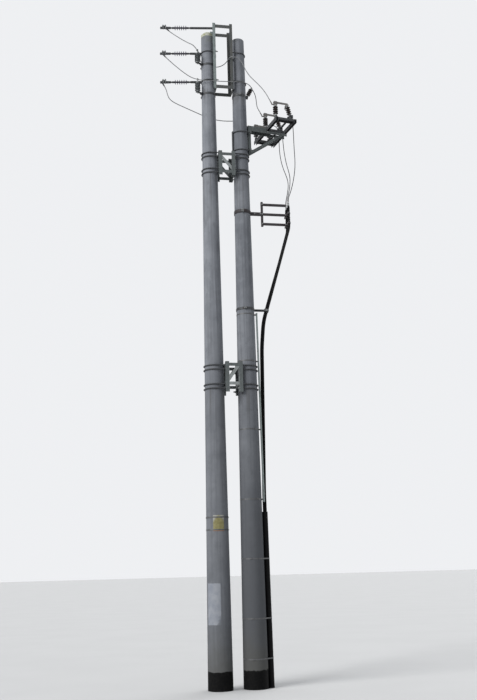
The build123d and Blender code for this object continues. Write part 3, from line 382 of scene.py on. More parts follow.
def block(bm, matrix, size, edge=0.8):
    """A box centred on the matrix's origin, with its edges broken."""
    made = bmesh.ops.create_cube(bm, size=1, matrix=matrix @ Matrix.Diagonal((*size, 1)))
    edges = {e for v in made["verts"] for e in v.link_edges}
    bmesh.ops.bevel(bm, geom=list(edges), offset=edge, segments=2, affect="EDGES", profile=0.5)


def nut(bm, matrix, size, stub=0.0, washer=True):
    """A washer and a hexagon, with a bolt's end beyond it when stub is given."""
    base = 0.0
    if washer:
        rod(bm, matrix, size * 1.05, size * 0.16, 0.3, 24)
        base = size * 0.16
    corner, height = size * 0.87, size * 0.8
    top = base + height
    lathe(bm, matrix, [(0, base), (corner * 0.93, base), (corner, base + size * 0.07),
                       (corner, top - size * 0.09), (corner * 0.88, top), (0, top)], 6)
    if stub:
        rod(bm, matrix @ move(0, 0, top - 0.5), size / 2, stub, 1.2, 16)


def sweep(bm, points, radius, segments=12, closed=False, section=None):
    """A tube along points; section gives the radius at an angle and a distance."""
    points = [Vector(p) for p in points]
    count = len(points)
    tangents = []
    for k in range(count):
        before = points[k - 1] if (k or closed) else points[0]
        after = points[(k + 1) % count] if (k < count - 1 or closed) else points[-1]
        tangents.append((after - before).normalized())
    seed = Vector((0, 0, 1)) if abs(tangents[0].z) < 0.9 else Vector((1, 0, 0))
    normal = (seed - tangents[0] * seed.dot(tangents[0])).normalized()
    rings, run = [], 0.0
    for k, (point, tangent) in enumerate(zip(points, tangents)):
        if k:
            run += (point - points[k - 1]).length
        normal = (normal - tangent * normal.dot(tangent)).normalized()
        side = tangent.cross(normal)
        ring = []
        for n in range(segments):
            a = tau * n / segments
            r = section(a, run) if section else radius
            ring.append(bm.verts.new(point + (normal * cos(a) + side * sin(a)) * r))
        rings.append(ring)
    pairs = list(zip(rings, rings[1:])) + ([(rings[-1], rings[0])] if closed else [])
    for low, high in pairs:
        for n in range(segments):
            m = (n + 1) % segments
            bm.faces.new((low[n], low[m], high[m], high[n]))
    if not closed:
        for ring in (rings[0], rings[-1]):
            bm.faces.new(ring)


def piece(name, bm, look, body="pole", angle=38):
    """Finishes a mesh: metres, shading, material, the body it rides on."""
    bmesh.ops.recalc_face_normals(bm, faces=bm.faces)
    bmesh.ops.scale(bm, vec=(MM, MM, MM), verts=bm.verts)
    mesh = bpy.data.meshes.new(name)
    bm.to_mesh(mesh)
    bm.free()
    mesh.polygons.foreach_set("use_smooth", [True] * len(mesh.polygons))
    mesh.set_sharp_from_angle(angle=radians(angle))
    mesh.materials.append(looks[look])
    made = bpy.data.objects.new(name, mesh)
    scene.collection.objects.link(made)
    if body:
        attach(made, body)
    return made


# The model's own measures, in millimetres
COLUMN_HEIGHT, COLUMN_TOP_D, TAPER, SPACING, SEAT = 10900, 218, 0.015, 540, 0.3


def column_radius(z):
    """Radius of a column's face at a level."""
    return (COLUMN_TOP_D + TAPER * (COLUMN_HEIGHT - z)) / 2


# Dead-end strings, along the line's slope
SLOPE = radians(4.6)
LINE = Vector((-cos(SLOPE), 0, -sin(SLOPE)))
STRINGS = {
    "top": {"x": 96, "z": 11070, "link": 396},
    "middle": {"x": -176, "z": 10545, "link": 130},
    "lower": {"x": -176, "z": 9994, "link": 130},
}
LINK_PLATE, FITTING, BODY, LINE_FITTING, CLAMP = 6, 70, 202, 114, 140
SHEDS, SHED_PITCH = 6, 38

# Column frames: name of the nuts, foot of the angles, levels and size of the U-bolts
FRAME_BOLTS = (
    ("lower_brace_nuts", 4490, (4550, 4618, 4860, 4928), 20),
    ("upper_brace_nuts", 8215, (8260, 8328, 8553, 8621), 20),
    ("head_frame_nuts", 9830, (9994, 10545), 16),
)
ANGLE_THICKNESS = 6

# Arresters: levels of their feet, and the jumper's direction where each one grips it
ARRESTERS, ARRESTER_HEIGHT, ARRESTER_BAND = (9757, 10320), 186, 36
ARRESTER_TURN, ARRESTER_OFFSET = radians(204), 100
GRIPS = ((0.852, -0.371, -0.371), (0.644, 0.413, -0.644))

# Bands on the right column: its axis, level of the ears, level and thickness of the band, turn of the
# ears about the axis, their height, bolt size
OTHER_BANDS = (
    (SPACING, 9745, 9705, 5, radians(-95), 38, 10),
    (SPACING, 7590, 7530, 8, radians(-100), 58, 12),
    (SPACING, 5890, 5850, 5, radians(-100), 38, 10),
)

# Disconnector, in its own frame on the right column
SWITCH_Z = 9230
SWITCH = move(SPACING, 0, SWITCH_Z) @ spin(radians(10.7), "Z")
PHASES, BEAM_XS = (-426, 20, 466), (497, 835)
FIXED_X, FIXED_BASE, FIXED_TOP = 495, 37.3, 237
SHAFT_X, SHAFT_Z, LEAN = 765, 48, radians(13)
CLAMP_LEVELS = (8712, 9048)

# Diameters of the conductors and the leads, in metres
JUMPER_D, LEAD_D = 0.014, 0.012

# Post insulator of the middle jumper
POST_BASE, POST_LEAN, POST_LENGTH = (684, 0, 9775), radians(26.6), 185

# Cable frame, terminations and cleat
FRAME_BARS = (7415, 7590, 7765)
TERMINATION_X, TERMINATION_YS, TERMINATION_Z = 1323.3, (-100, 0, 100), 7390
CLEAT_X, CLEAT_Z, CABLE_BEND_Z = 892.9, 5890, 7330

# Straps, and the sign with its rivets
SIGN_STRAPS, SIGN_Z, SIGN_PLATE = (2342, 2532), 2322, 2
RAIL_STRAPS = (2800, 3900, 5013, 5798)
GUARD_STRAPS = (420, 1003, 1886)
STRAP = 1.6
RIVET_LEVELS, RIVET_TURNS = (2336, 2548), (radians(-116.5), radians(-67.5))


# Looks of the CAD nodes that stay; the cables are black and the rest is dark steel
NODE_LOOKS = {
    "left_column": "concrete_left", "right_column": "concrete_right", "right_column_cap": "concrete_right",
    "head_frame": "zinc", "cable_rail": "zinc", "upper_brace": "shaded_brace_zinc", "lower_brace": "shaded_brace_zinc",
    "switch_bracket": "shaded_brace_zinc", "fixed_contacts": "contact", "switch_blades": "contact",
    "cable_frame": "frame_steel", "cable_frame_arm": "frame_steel", "cable_guard": "black",
    "sign_plate": "enamel", "sign_straps": "strap", "guard_straps": "strap", "rail_straps": "strap",
}
for name, node in nodes.items():
    other = "black" if name.startswith("cable_phase") else "dark_steel"
    node.data.materials.clear()
    node.data.materials.append(looks[NODE_LOOKS.get(name, other)])

# Flat steel parts get slightly rounded edges, in millimetres
for name, width in (("head_frame", 1.2), ("upper_brace", 1.2), ("lower_brace", 1.2), ("switch_base", 1.0),
                    ("switch_bracket", 1.2), ("cable_frame", 1.5), ("cable_frame_arm", 1.5),
                    ("switch_bearings", 1.2), ("switch_blades", 1.0)):
    weld = nodes[name].modifiers.new("weld", "WELD")
    weld.merge_threshold = 0.00002
    bevel = nodes[name].modifiers.new("edges", "BEVEL")
    bevel.width = width * MM
    bevel.segments = 2
    bevel.limit_method = "ANGLE"
    bevel.angle_limit = radians(50)
    bevel.harden_normals = True


# Left column's mossy plug
def make_moss_cap():
    bm = bmesh.new()
    segments, radius, height = 72, 85, 47
    lowest, highest = COLUMN_HEIGHT + 0.2, COLUMN_HEIGHT + 51.5
    # Share of the radius, and how far below the crown
    rows = [(0.0, 0.0), (0.35, 0.0), (0.62, 0.03), (0.80, 0.10), (0.90, 0.22), (0.96, 0.42), (0.985, 0.66),
            (1.0, 0.86), (1.03, 1.0)]
    rings = []
    for share, drop in rows:
        ring = []
        for k in range(segments if share else 1):
            a = tau * k / segments
            x, y = cos(a) * share, sin(a) * share
            lump = noise.noise(Vector((x * 2.1, y * 2.1, drop * 1.7)) + Vector((4, 1, 2)))
            fine = noise.noise(Vector((x * 9, y * 9, drop * 6)))
            r = share * radius * (1 + 0.035 * lump * min(1, share * 1.5)) + 1.1 * fine
            z = COLUMN_HEIGHT + height * (1 - drop) + (5.0 * lump + 1.6 * fine) * (1 - 0.75 * drop) - 3
            z = max(lowest, min(highest, z)) if drop < 1 else lowest
            ring.append(bm.verts.new((r * cos(a), r * sin(a), z)))
        rings.append(ring)
    for high, low in zip(rings, rings[1:]):
        for k in range(segments):
            n = (k + 1) % segments
            if len(high) == 1:
                bm.faces.new((high[0], low[k], low[n]))
            else:
                bm.faces.new((high[k], low[k], low[n], high[n]))
    bm.faces.new(rings[-1])
    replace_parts(piece("left_column_plug", bm, "moss", angle=80), "left_column_cap")


make_moss_cap()


# Bolts of the column frames: two nuts for each U-bolt, on the far side of the frame's angle
def make_frame_bolts():
    for name, bottom, levels, size in FRAME_BOLTS:
        bm = bmesh.new()
        inner = column_radius(bottom) + SEAT + ANGLE_THICKNESS
        for z in levels:
            y = column_radius(z) + SEAT + size / 2
            for x, side in ((0, 1), (SPACING, -1)):
                for depth in (-1, 1):
                    nut(bm, place((x + side * inner, depth * y, z), (side, 0, 0)), size)
        piece(name, bm, "bolt_zinc")


make_frame_bolts()


# Dead-end strings
def make_string(name, string):
    """Sheds, end fittings, pins and clamp bolts of one string; distances run along the line's slope."""
    pivot = Vector((string["x"], 0, string["z"]))

    def at(distance):
        return place(pivot + LINE * distance, LINE, (0, 1, 0))

    start = string["link"] + LINK_PLATE + SEAT
    body = start + FITTING
    end = body + BODY + LINE_FITTING
    bm = bmesh.new()
    core, tip = 14.5, 41
    profile = [(0, -8), (core + 3, -8), (core + 3, 0)]
    for k in range(SHEDS):
        z = k * SHED_PITCH
        profile += [(core, z + 0.6), (core + 1.2, z + 1.2), (22, z + 1.9), (32, z + 2.0),
                    (tip - 1.8, z + 1.3), (tip - 0.5, z + 2.0), (tip, z + 3.3), (tip - 0.6, z + 4.6),
                    (tip - 3, z + 5.4), (28, z + 8.2), (19, z + 11.2), (core + 0.9, z + 15.5), (core, z + 20)]
    profile += [(core, BODY), (core + 3, BODY), (core + 3, BODY + 8), (0, BODY + 8)]
    lathe(bm, at(body), profile, 48)
    sheds = piece(f"{name}_insulator_sheds", bm, "sheds", angle=50)
    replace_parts(sheds, f"{name}_insulator")

    bm = bmesh.new()
    lathe(bm, at(start), [(0, 0), (13, 0), (15.5, 2), (15.5, 9), (12, 12), (12, 18), (16, 22), (17, 25),
                          (17, 60), (15, 66), (0, 66)])
    lathe(bm, at(body + BODY), [(0, 4), (15, 4), (17, 8), (17, 46), (13, 52), (12, 60), (12, 70), (15, 73),
                                (15, 76), (0, 76)])
    fork = at(end - 23)
    for side in (-1, 1):
        block(bm, fork @ move(side * 12.5, 0, 0), (8, 30, 46), 2.5)
    block(bm, at(end - 41), (32, 30, 10), 2.5)
    block(bm, at(end - 12), (14, 24, 24), 2)
    pin = place(fork.translation + LINE * 4, (0, 1, 0))
    rod(bm, pin @ move(0, 0, -21), 7, 44)
    nut(bm, pin @ move(0, 0, 16.6), 10)
    rod(bm, pin @ move(0, 0, -22), 11, 5)
    piece(f"{name}_insulator_fittings", bm, "dark_steel")

    # Pins of the link, and the bolts of the line clamp's keeper
    bm = bmesh.new()
    pin = place(pivot, (0, 1, 0))
    rod(bm, pin @ move(0, 0, -19.5), 11.5, 6)
    nut(bm, pin @ move(0, 0, 13), 12)
    reach = 22
    half_turn = [pi * k / 16 for k in range(17)]
    for along in (-20, 20):
        middle = at(end + SEAT + CLAMP / 2 + along)
        bend = [middle @ Vector((reach * cos(a), reach * sin(a) + 0.5, 0)) for a in half_turn]
        ends = [middle @ Vector((side * reach, -52, 0)) for side in (1, -1)]
        sweep(bm, [ends[0], *bend, ends[1]], 4.8, 12)
        block(bm, middle @ move(0, -38.6, 0), (58, 5, 22), 1.2)
        for side in (-1, 1):
            nut(bm, middle @ move(side * reach, -41.2, 0) @ spin(pi / 2, "X"), 9)
    piece(f"{name}_string_bolts", bm, "bolt_zinc")


for string_name, string_data in STRINGS.items():
    make_string(string_name, string_data)


# Arresters
def shed_stack(bottom, count, pitch, core, tip, thick):
    """Profile points of a row of drooping sheds."""
    points = []
    for k in range(count):
        z = bottom + k * pitch
        points += [(core, z + thick * 0.1), (core + 2, z), (tip - 5, z - thick * 0.25), (tip - 1, z),
                   (tip, z + thick * 0.25), (tip - 1.2, z + thick * 0.5), (tip - 6, z + thick * 0.75),
                   (core + 5, z + thick * 1.35), (core, z + thick * 1.8)]
    return points


def make_arrester(k, z):
    radial = Vector((cos(ARRESTER_TURN), sin(ARRESTER_TURN), 0))
    base = radial * (column_radius(z) + ARRESTER_OFFSET) + Vector((0, 0, z))
    stand = place(base, (0, 0, 1), radial)
    height = ARRESTER_HEIGHT
    bm = bmesh.new()
    profile = [(0, 6), (30, 6), (30, 14), *shed_stack(26, 5, 31, 28, 48, 8), (28, height - 10),
               (0, height - 10)]
    lathe(bm, stand, profile, 48)
    body = piece(f"arrester_body_{k}", bm, "grey_sheds", angle=50)
    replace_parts(body, f"arrester_{k}")

    bm = bmesh.new()
    lathe(bm, stand, [(0, 0.2), (24, 0.2), (31, 2), (31, 8), (0, 8)], 36)
    lathe(bm, stand, [(0, height - 12), (26, height - 12), (26, height - 3), (22, height), (0, height)], 36)
    rod(bm, stand @ move(0, 0, height - 1), 8, 36)
    nut(bm, stand @ move(0, 0, height), 14)
    # A two-part clamp grips the jumper at the top of the stud
    stud = 54
    jaw = place(base + Vector((0, 0, height + stud)), GRIPS[k - 1], (0, 0, 1))
    for side in (-1, 1):
        block(bm, jaw @ move(side * 8.4, 0, 0), (8, 27, 27), 1.8)
        nut(bm, jaw @ move(12.3, side * 10.2, 0) @ spin(pi / 2, "Y"), 5)
    rod(bm, stand @ move(0, 0, height + 33), 11, 11, 1.5)
    # The bolt end below the arm
    nut(bm, stand @ move(0, 0, -8.3) @ spin(pi, "X"), 14, 10)
    piece(f"arrester_ends_{k}", bm, "bolt_zinc")


for number, level_z in enumerate(ARRESTERS, 1):
    make_arrester(number, level_z)


# Ears and bolts of the bands
def band_ears(bm, centre_x, z, band_z, thickness, angle, height, size):
    """Two upright ears with bolts through them, where a band is drawn together."""
    outer = column_radius(band_z) + SEAT + thickness
    radial = Vector((cos(angle), sin(angle), 0))
    across = Vector((-sin(angle), cos(angle), 0))
    for side in (-1, 1):
        origin = Vector((centre_x, 0, z)) + radial * (outer + 11) + across * side * 8
        block(bm, place(origin, (0, 0, 1), radial), (26, 5, height), 1)
    for share in ((-0.25, 0.25) if height > 44 else (0,)):
        bolt = place(Vector((centre_x, 0, z + share * height)) + radial * (outer + 14), across)
        rod(bm, bolt @ move(0, 0, -22), size / 2, 46, segments=16)
        nut(bm, bolt @ move(0, 0, 10.5), size)
        nut(bm, bolt @ move(0, 0, -10.5) @ spin(pi, "X"), size)


def make_bands():
    bm = bmesh.new()
    for z in ARRESTERS:
        middle = z - SEAT - ARRESTER_BAND / 2
        band_ears(bm, 0, middle, z - ARRESTER_BAND, 5, ARRESTER_TURN - radians(58), 34, 10)
    for band in OTHER_BANDS:
        band_ears(bm, *band)
    piece("band_bolts", bm, "bolt_zinc")


make_bands()


# Disconnector
def post_insulator(bodies, caps, matrix):
    """Porcelain with four sheds between two cemented metal ends, 200 high."""
    lathe(bodies, matrix, [(0, 17), (23, 17), (26, 24), *shed_stack(43, 4, 38, 26, 46, 11), (26, 176),
                           (23, 183), (0, 183)], 48)
    lathe(caps, matrix, [(0, 0), (25, 0), (25, 16), (23.5, 20), (21, 21), (0, 21)], 36)
    lathe(caps, matrix, [(0, 179), (21, 179), (23.5, 180), (25, 184), (25, 200), (0, 200)], 36)


def nuts_at(bm, matrix, across, along, z, size, **details):
    """Four nuts, at the corners of a rectangle."""
    for dx in (-across, across):
        for dy in (-along, along):
            nut(bm, matrix @ move(dx, dy, z), size, **details)


def moving_seat(y):
    """Where a moving insulator stands on the shaft, leaning with the shaft at rest."""
    return SWITCH @ move(SHAFT_X, y, SHAFT_Z) @ spin(-LEAN, "Y")


def make_switch_insulators():
    bodies, caps = bmesh.new(), bmesh.new()
    for y in PHASES:
        post_insulator(bodies, caps, SWITCH @ move(FIXED_X, y, FIXED_BASE))
        nuts_at(caps, SWITCH @ move(FIXED_X, y, 0), 15.5, 15.5, FIXED_TOP, 6, washer=False)
    fixed = piece("fixed_porcelain", bodies, "glaze", angle=50)
    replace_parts(fixed, "fixed_insulators")
    piece("fixed_insulator_ends", caps, "bolt_zinc")

    bodies, caps = bmesh.new(), bmesh.new()
    for y in PHASES:
        post_insulator(bodies, caps, moving_seat(y) @ move(0, 0, 20.3))
        nuts_at(caps, moving_seat(y), 21, 21, 20, 6, washer=False)
    moving = piece("moving_porcelain", bodies, "glaze", "rocker", angle=50)
    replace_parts(moving, "moving_insulators")
    piece("moving_insulator_ends", caps, "bolt_zinc", "rocker")


make_switch_insulators()


def make_switch_fittings():
    """Bolts of the steelwork, the springs of the fixed contacts and the bolts of the blades."""
    bm = bmesh.new()
    clamp_plate, clamp_bolt, beam_side = 12, 18, 60.2
    plate_face = column_radius(CLAMP_LEVELS[0]) + SEAT + clamp_plate
    bearing_face, bearing_middle, bearing_top = 46.4, 39.4, 77.5
    for side in (-1, 1):
        outward = spin(-side * pi / 2, "X")
        for y in PHASES:
            # Bolts of the cross channels, bolts and grease nipples of the shaft's bearings
            for x, inset in zip(BEAM_XS, (-14, 14)):
                nut(bm, SWITCH @ move(x + inset, y + side * 34, 0), 10, 4)
            for dx in (-24, 24):
                nut(bm, SWITCH @ move(SHAFT_X + dx, y + side * bearing_face, 14) @ outward, 8)
            rod(bm, SWITCH @ move(SHAFT_X, y + side * bearing_middle, bearing_top), 4, 7, 0.8, 12)
        # Nuts of the U-bolts on the bracket's plate
        for z in CLAMP_LEVELS:
            across = side * (column_radius(z) + SEAT + clamp_bolt / 2)
            nut(bm, SWITCH @ move(plate_face, across, z - SWITCH_Z) @ spin(pi / 2, "Y"), clamp_bolt)
        # Bolts that hold the beams to the bracket's arms
        for x in BEAM_XS:
            nut(bm, SWITCH @ move(x, side * beam_side, -90) @ outward, 12)
    piece("switch_bolts", bm, "bolt_zinc")

    bm = bmesh.new()
    spring_z, jaw_bolt_z = 270, 281
    for y in PHASES:
        for side in (-1, 1):
            for dx in (-20, 20):
                bolt = SWITCH @ move(FIXED_X + dx, y + side * 18, jaw_bolt_z)
                nut(bm, bolt @ spin(-side * pi / 2, "X"), 7, 5)
            block(bm, SWITCH @ move(FIXED_X, y + side * 19.3, spring_z), (50, 2.4, 16), 0.8)
    piece("contact_springs", bm, "contact")

    # Each lead's palm is bolted to one side of its blade's root
    bm = bmesh.new()
    root_top, palm_y, palm_top, palm_foot = 232.6, 41, 236.4, 220.6
    for y, side in zip(PHASES, (1, 1, -1)):
        nuts_at(bm, moving_seat(y), 17, 11, root_top, 7)
        nut(bm, moving_seat(y) @ move(0, side * palm_y, palm_top), 11, 5)
        nut(bm, moving_seat(y) @ move(0, side * palm_y, palm_foot) @ spin(pi, "X"), 11, 4)
    piece("blade_bolts", bm, "contact", "rocker")


make_switch_fittings()


# Post insulator of the middle jumper
def make_jumper_post():
    stand = place(POST_BASE, (sin(POST_LEAN), 0, cos(POST_LEAN)), (cos(POST_LEAN), 0, -sin(POST_LEAN)))
    bm = bmesh.new()
    lathe(bm, stand, [(0, 16), (19, 16), (21, 23), *shed_stack(38, 4, 34, 21, 40, 10), (21, 160), (19, 168),
                      (0, 168)], 48)
    body = piece("post_porcelain", bm, "glaze", angle=50)
    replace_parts(body, "jumper_post")
    bm = bmesh.new()
    lathe(bm, stand, [(0, 0), (19, 0), (19, 15), (17, 20), (0, 20)], 36)
    lathe(bm, stand, [(0, 165), (17, 165), (19, 169), (19, 178), (15, 181), (13, POST_LENGTH),
                      (0, POST_LENGTH)], 36)
    nut(bm, stand @ move(0, 0, -8.5) @ spin(pi, "X"), 14, 8)
    piece("post_ends", bm, "bolt_zinc")
    # Binding wire that ties the jumper, which runs across the post's head, to its neck
    bm = bmesh.new()
    run = stand @ move(0, 0, POST_LENGTH + JUMPER_D / MM / 2 + SEAT) @ spin(atan2(0.8, 0.6), "Z")
    circle = [tau * k / 28 for k in range(28)]
    for offset in (-16, -11.5, -7, 7, 11.5, 16):
        loop = [run @ Vector((offset, 8.6 * cos(a), 8.6 * sin(a) - 0.4)) for a in circle]
        sweep(bm, loop, 1.7, 8, closed=True)
    circle = [tau * k / 36 for k in range(36)]
    sweep(bm, [stand @ Vector((14.6 * cos(a), 14.6 * sin(a), 182.6)) for a in circle], 1.7, 8, closed=True)
    piece("binding_wire", bm, "conductor", angle=60)


make_jumper_post()


# Cable terminations, and the saddles that hold them to the two head bars
def make_terminations():
    rubber, metal = bmesh.new(), bmesh.new()
    profile = [(0, 0), (17.5, 0), (19, 3), (19, 52), (16.5, 60), *shed_stack(84, 2, 32, 14.5, 19, 7),
               (16.5, 176), (19, 182), (19, 220), (16.5, 226), *shed_stack(246, 3, 27, 14.5, 19, 7),
               (14.5, 330), (12, 340), (0, 340)]
    half_turn = [-pi / 2 + pi * k / 16 for k in range(17)]
    bar_face, saddle = 1304.5, 21.4
    for y in TERMINATION_YS:
        foot = move(TERMINATION_X, y, TERMINATION_Z)
        lathe(rubber, foot, profile, 36)
        lathe(metal, foot, [(0, 336), (11, 336), (11, 368), (8, 372), (8, 408), (7, 410), (0, 410)], 24)
        nut(metal, foot @ move(0, 0, 376), 12)
        for z in FRAME_BARS[:2]:
            bend = [(TERMINATION_X + saddle * cos(a), y + saddle * sin(a)) for a in half_turn]
            line = [(bar_face, y - saddle), *bend, (bar_face, y + saddle)]
            for rise in (-8, 0, 8):
                sweep(metal, [(*point, z + rise) for point in line], 2.2, 8)
            for side in (-1, 1):
                block(metal, move(bar_face + 1.5, y + side * 29, z), (4, 17, 24), 1)
                nut(metal, place((bar_face + 3.5, y + side * 30, z), (1, 0, 0)), 6)
    body = piece("termination_bodies", rubber, "black", angle=50)
    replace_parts(body, "cable_terminations")
    piece("termination_fittings", metal, "bolt_zinc")


make_terminations()


# Bolts of the cable frame, and of the cleat where the cables reach the column
def make_cable_frame_bolts():
    bm = bmesh.new()
    # Place along the arm, distance from its middle, level, size
    places = [(876, 18, z, 12) for z in FRAME_BARS] + [(1284, 18, z, 10) for z in FRAME_BARS[:2]]
    places += [(x, 25, FRAME_BARS[1], 12) for x in (745, 845)]
    for side in (-1, 1):
        for x, y, z, size in places:
            nut(bm, place((x, side * y, z), (0, side, 0)), size)
    tilt = atan2(TERMINATION_X - CLEAT_X, CABLE_BEND_Z - CLEAT_Z)
    cleat = move(CLEAT_X, 0, CLEAT_Z) @ spin(tilt, "Y")
    along = spin(pi / 2, "Y")
    for side in (-1, 1):
        block(bm, cleat @ move(side * 4.5, -46, 0), (5, 18, 38), 1)
        rod(bm, cleat @ move(-14, -48, side * 9) @ along, 4, 28, 0.8, 12)
        nut(bm, cleat @ move(7, -48, side * 9) @ along, 8)
    piece("cable_frame_bolts", bm, "bolt_zinc")


make_cable_frame_bolts()


# Strap buckles, the screws of the rail's clips and the rivets of the sign
def buckle(bm, x, z, radius, angle):
    radial = Vector((cos(angle), sin(angle), 0))
    seat = place(Vector((x, 0, z)) + radial * (radius + 0.8), radial, (-sin(angle), cos(angle), 0))
    block(bm, seat @ move(0, 0, 1.6), (22, 25, 4.2), 1.1)
    block(bm, seat @ move(17, 0, 0.6), (26, 19, 1.3), 0.3)
    for side in (-1, 1):
        block(bm, seat @ move(-5, side * 11.2, 3.4), (12, 3.2, 4.6), 0.8)


def make_buckles():
    bm = bmesh.new()
    plate = column_radius(SIGN_Z) + SEAT + SIGN_PLATE
    for z in SIGN_STRAPS:
        buckle(bm, 0, z, plate + SEAT + STRAP, radians(-28))
    turn = radians(-20)
    for z in RAIL_STRAPS:
        buckle(bm, SPACING, z, column_radius(z - 20) + SEAT + STRAP, radians(-64))
        reach = column_radius(z) + 30
        across = Vector((sin(turn), -cos(turn), 0))
        nut(bm, place(Vector((SPACING + reach * cos(turn), reach * sin(turn), z)) + across * 2, across), 7)
    for z in GUARD_STRAPS:
        buckle(bm, SPACING, z + 10, column_radius(z) + SEAT + STRAP, radians(-112))
    for z in RIVET_LEVELS:
        for a in RIVET_TURNS:
            rivet = place((plate * cos(a), plate * sin(a), z), (cos(a), sin(a), 0))
            lathe(bm, rivet, [(0, 0), (4.6, 0), (4.2, 1.1), (2.4, 1.9), (0, 2.1)], 20)
    piece("strap_buckles", bm, "strap")


make_buckles()


# Cords
def route_line(name, points, resolution):
    """The smooth line of a route, read from its NURBS spline. Points in metres."""
    data = bpy.data.curves.new(name + "_route", "CURVE")
    data.dimensions = "3D"
    data.resolution_u = resolution
    spline = data.splines.new("NURBS")
    spline.points.add(len(points) - 1)
    for point, co in zip(spline.points, points):
        point.co = (*co, 1)
    spline.order_u = 3
    spline.use_endpoint_u = True
    holder = bpy.data.objects.new(name + "_route", data)
    scene.collection.objects.link(holder)
    bpy.context.view_layer.update()
    depsgraph = bpy.context.evaluated_depsgraph_get()
    mesh = bpy.data.meshes.new_from_object(holder.evaluated_get(depsgraph))
    line = [v.co.copy() for v in mesh.vertices]
    bpy.data.meshes.remove(mesh)
    bpy.data.objects.remove(holder)
    return line


def strand_section(radius, strands=12, lay_length=150):
    """Radius of a stranded conductor at an angle and a distance along it, in millimetres."""
    half = pi / strands
    wire = radius * sin(half) / (1 + sin(half))
    ring = radius - wire

    def at(angle, run):
        turn = (angle + tau * run / lay_length) % (2 * half) - half
        return ring * cos(turn) + sqrt(max(0, wire * wire - (ring * sin(turn)) ** 2))

    return at
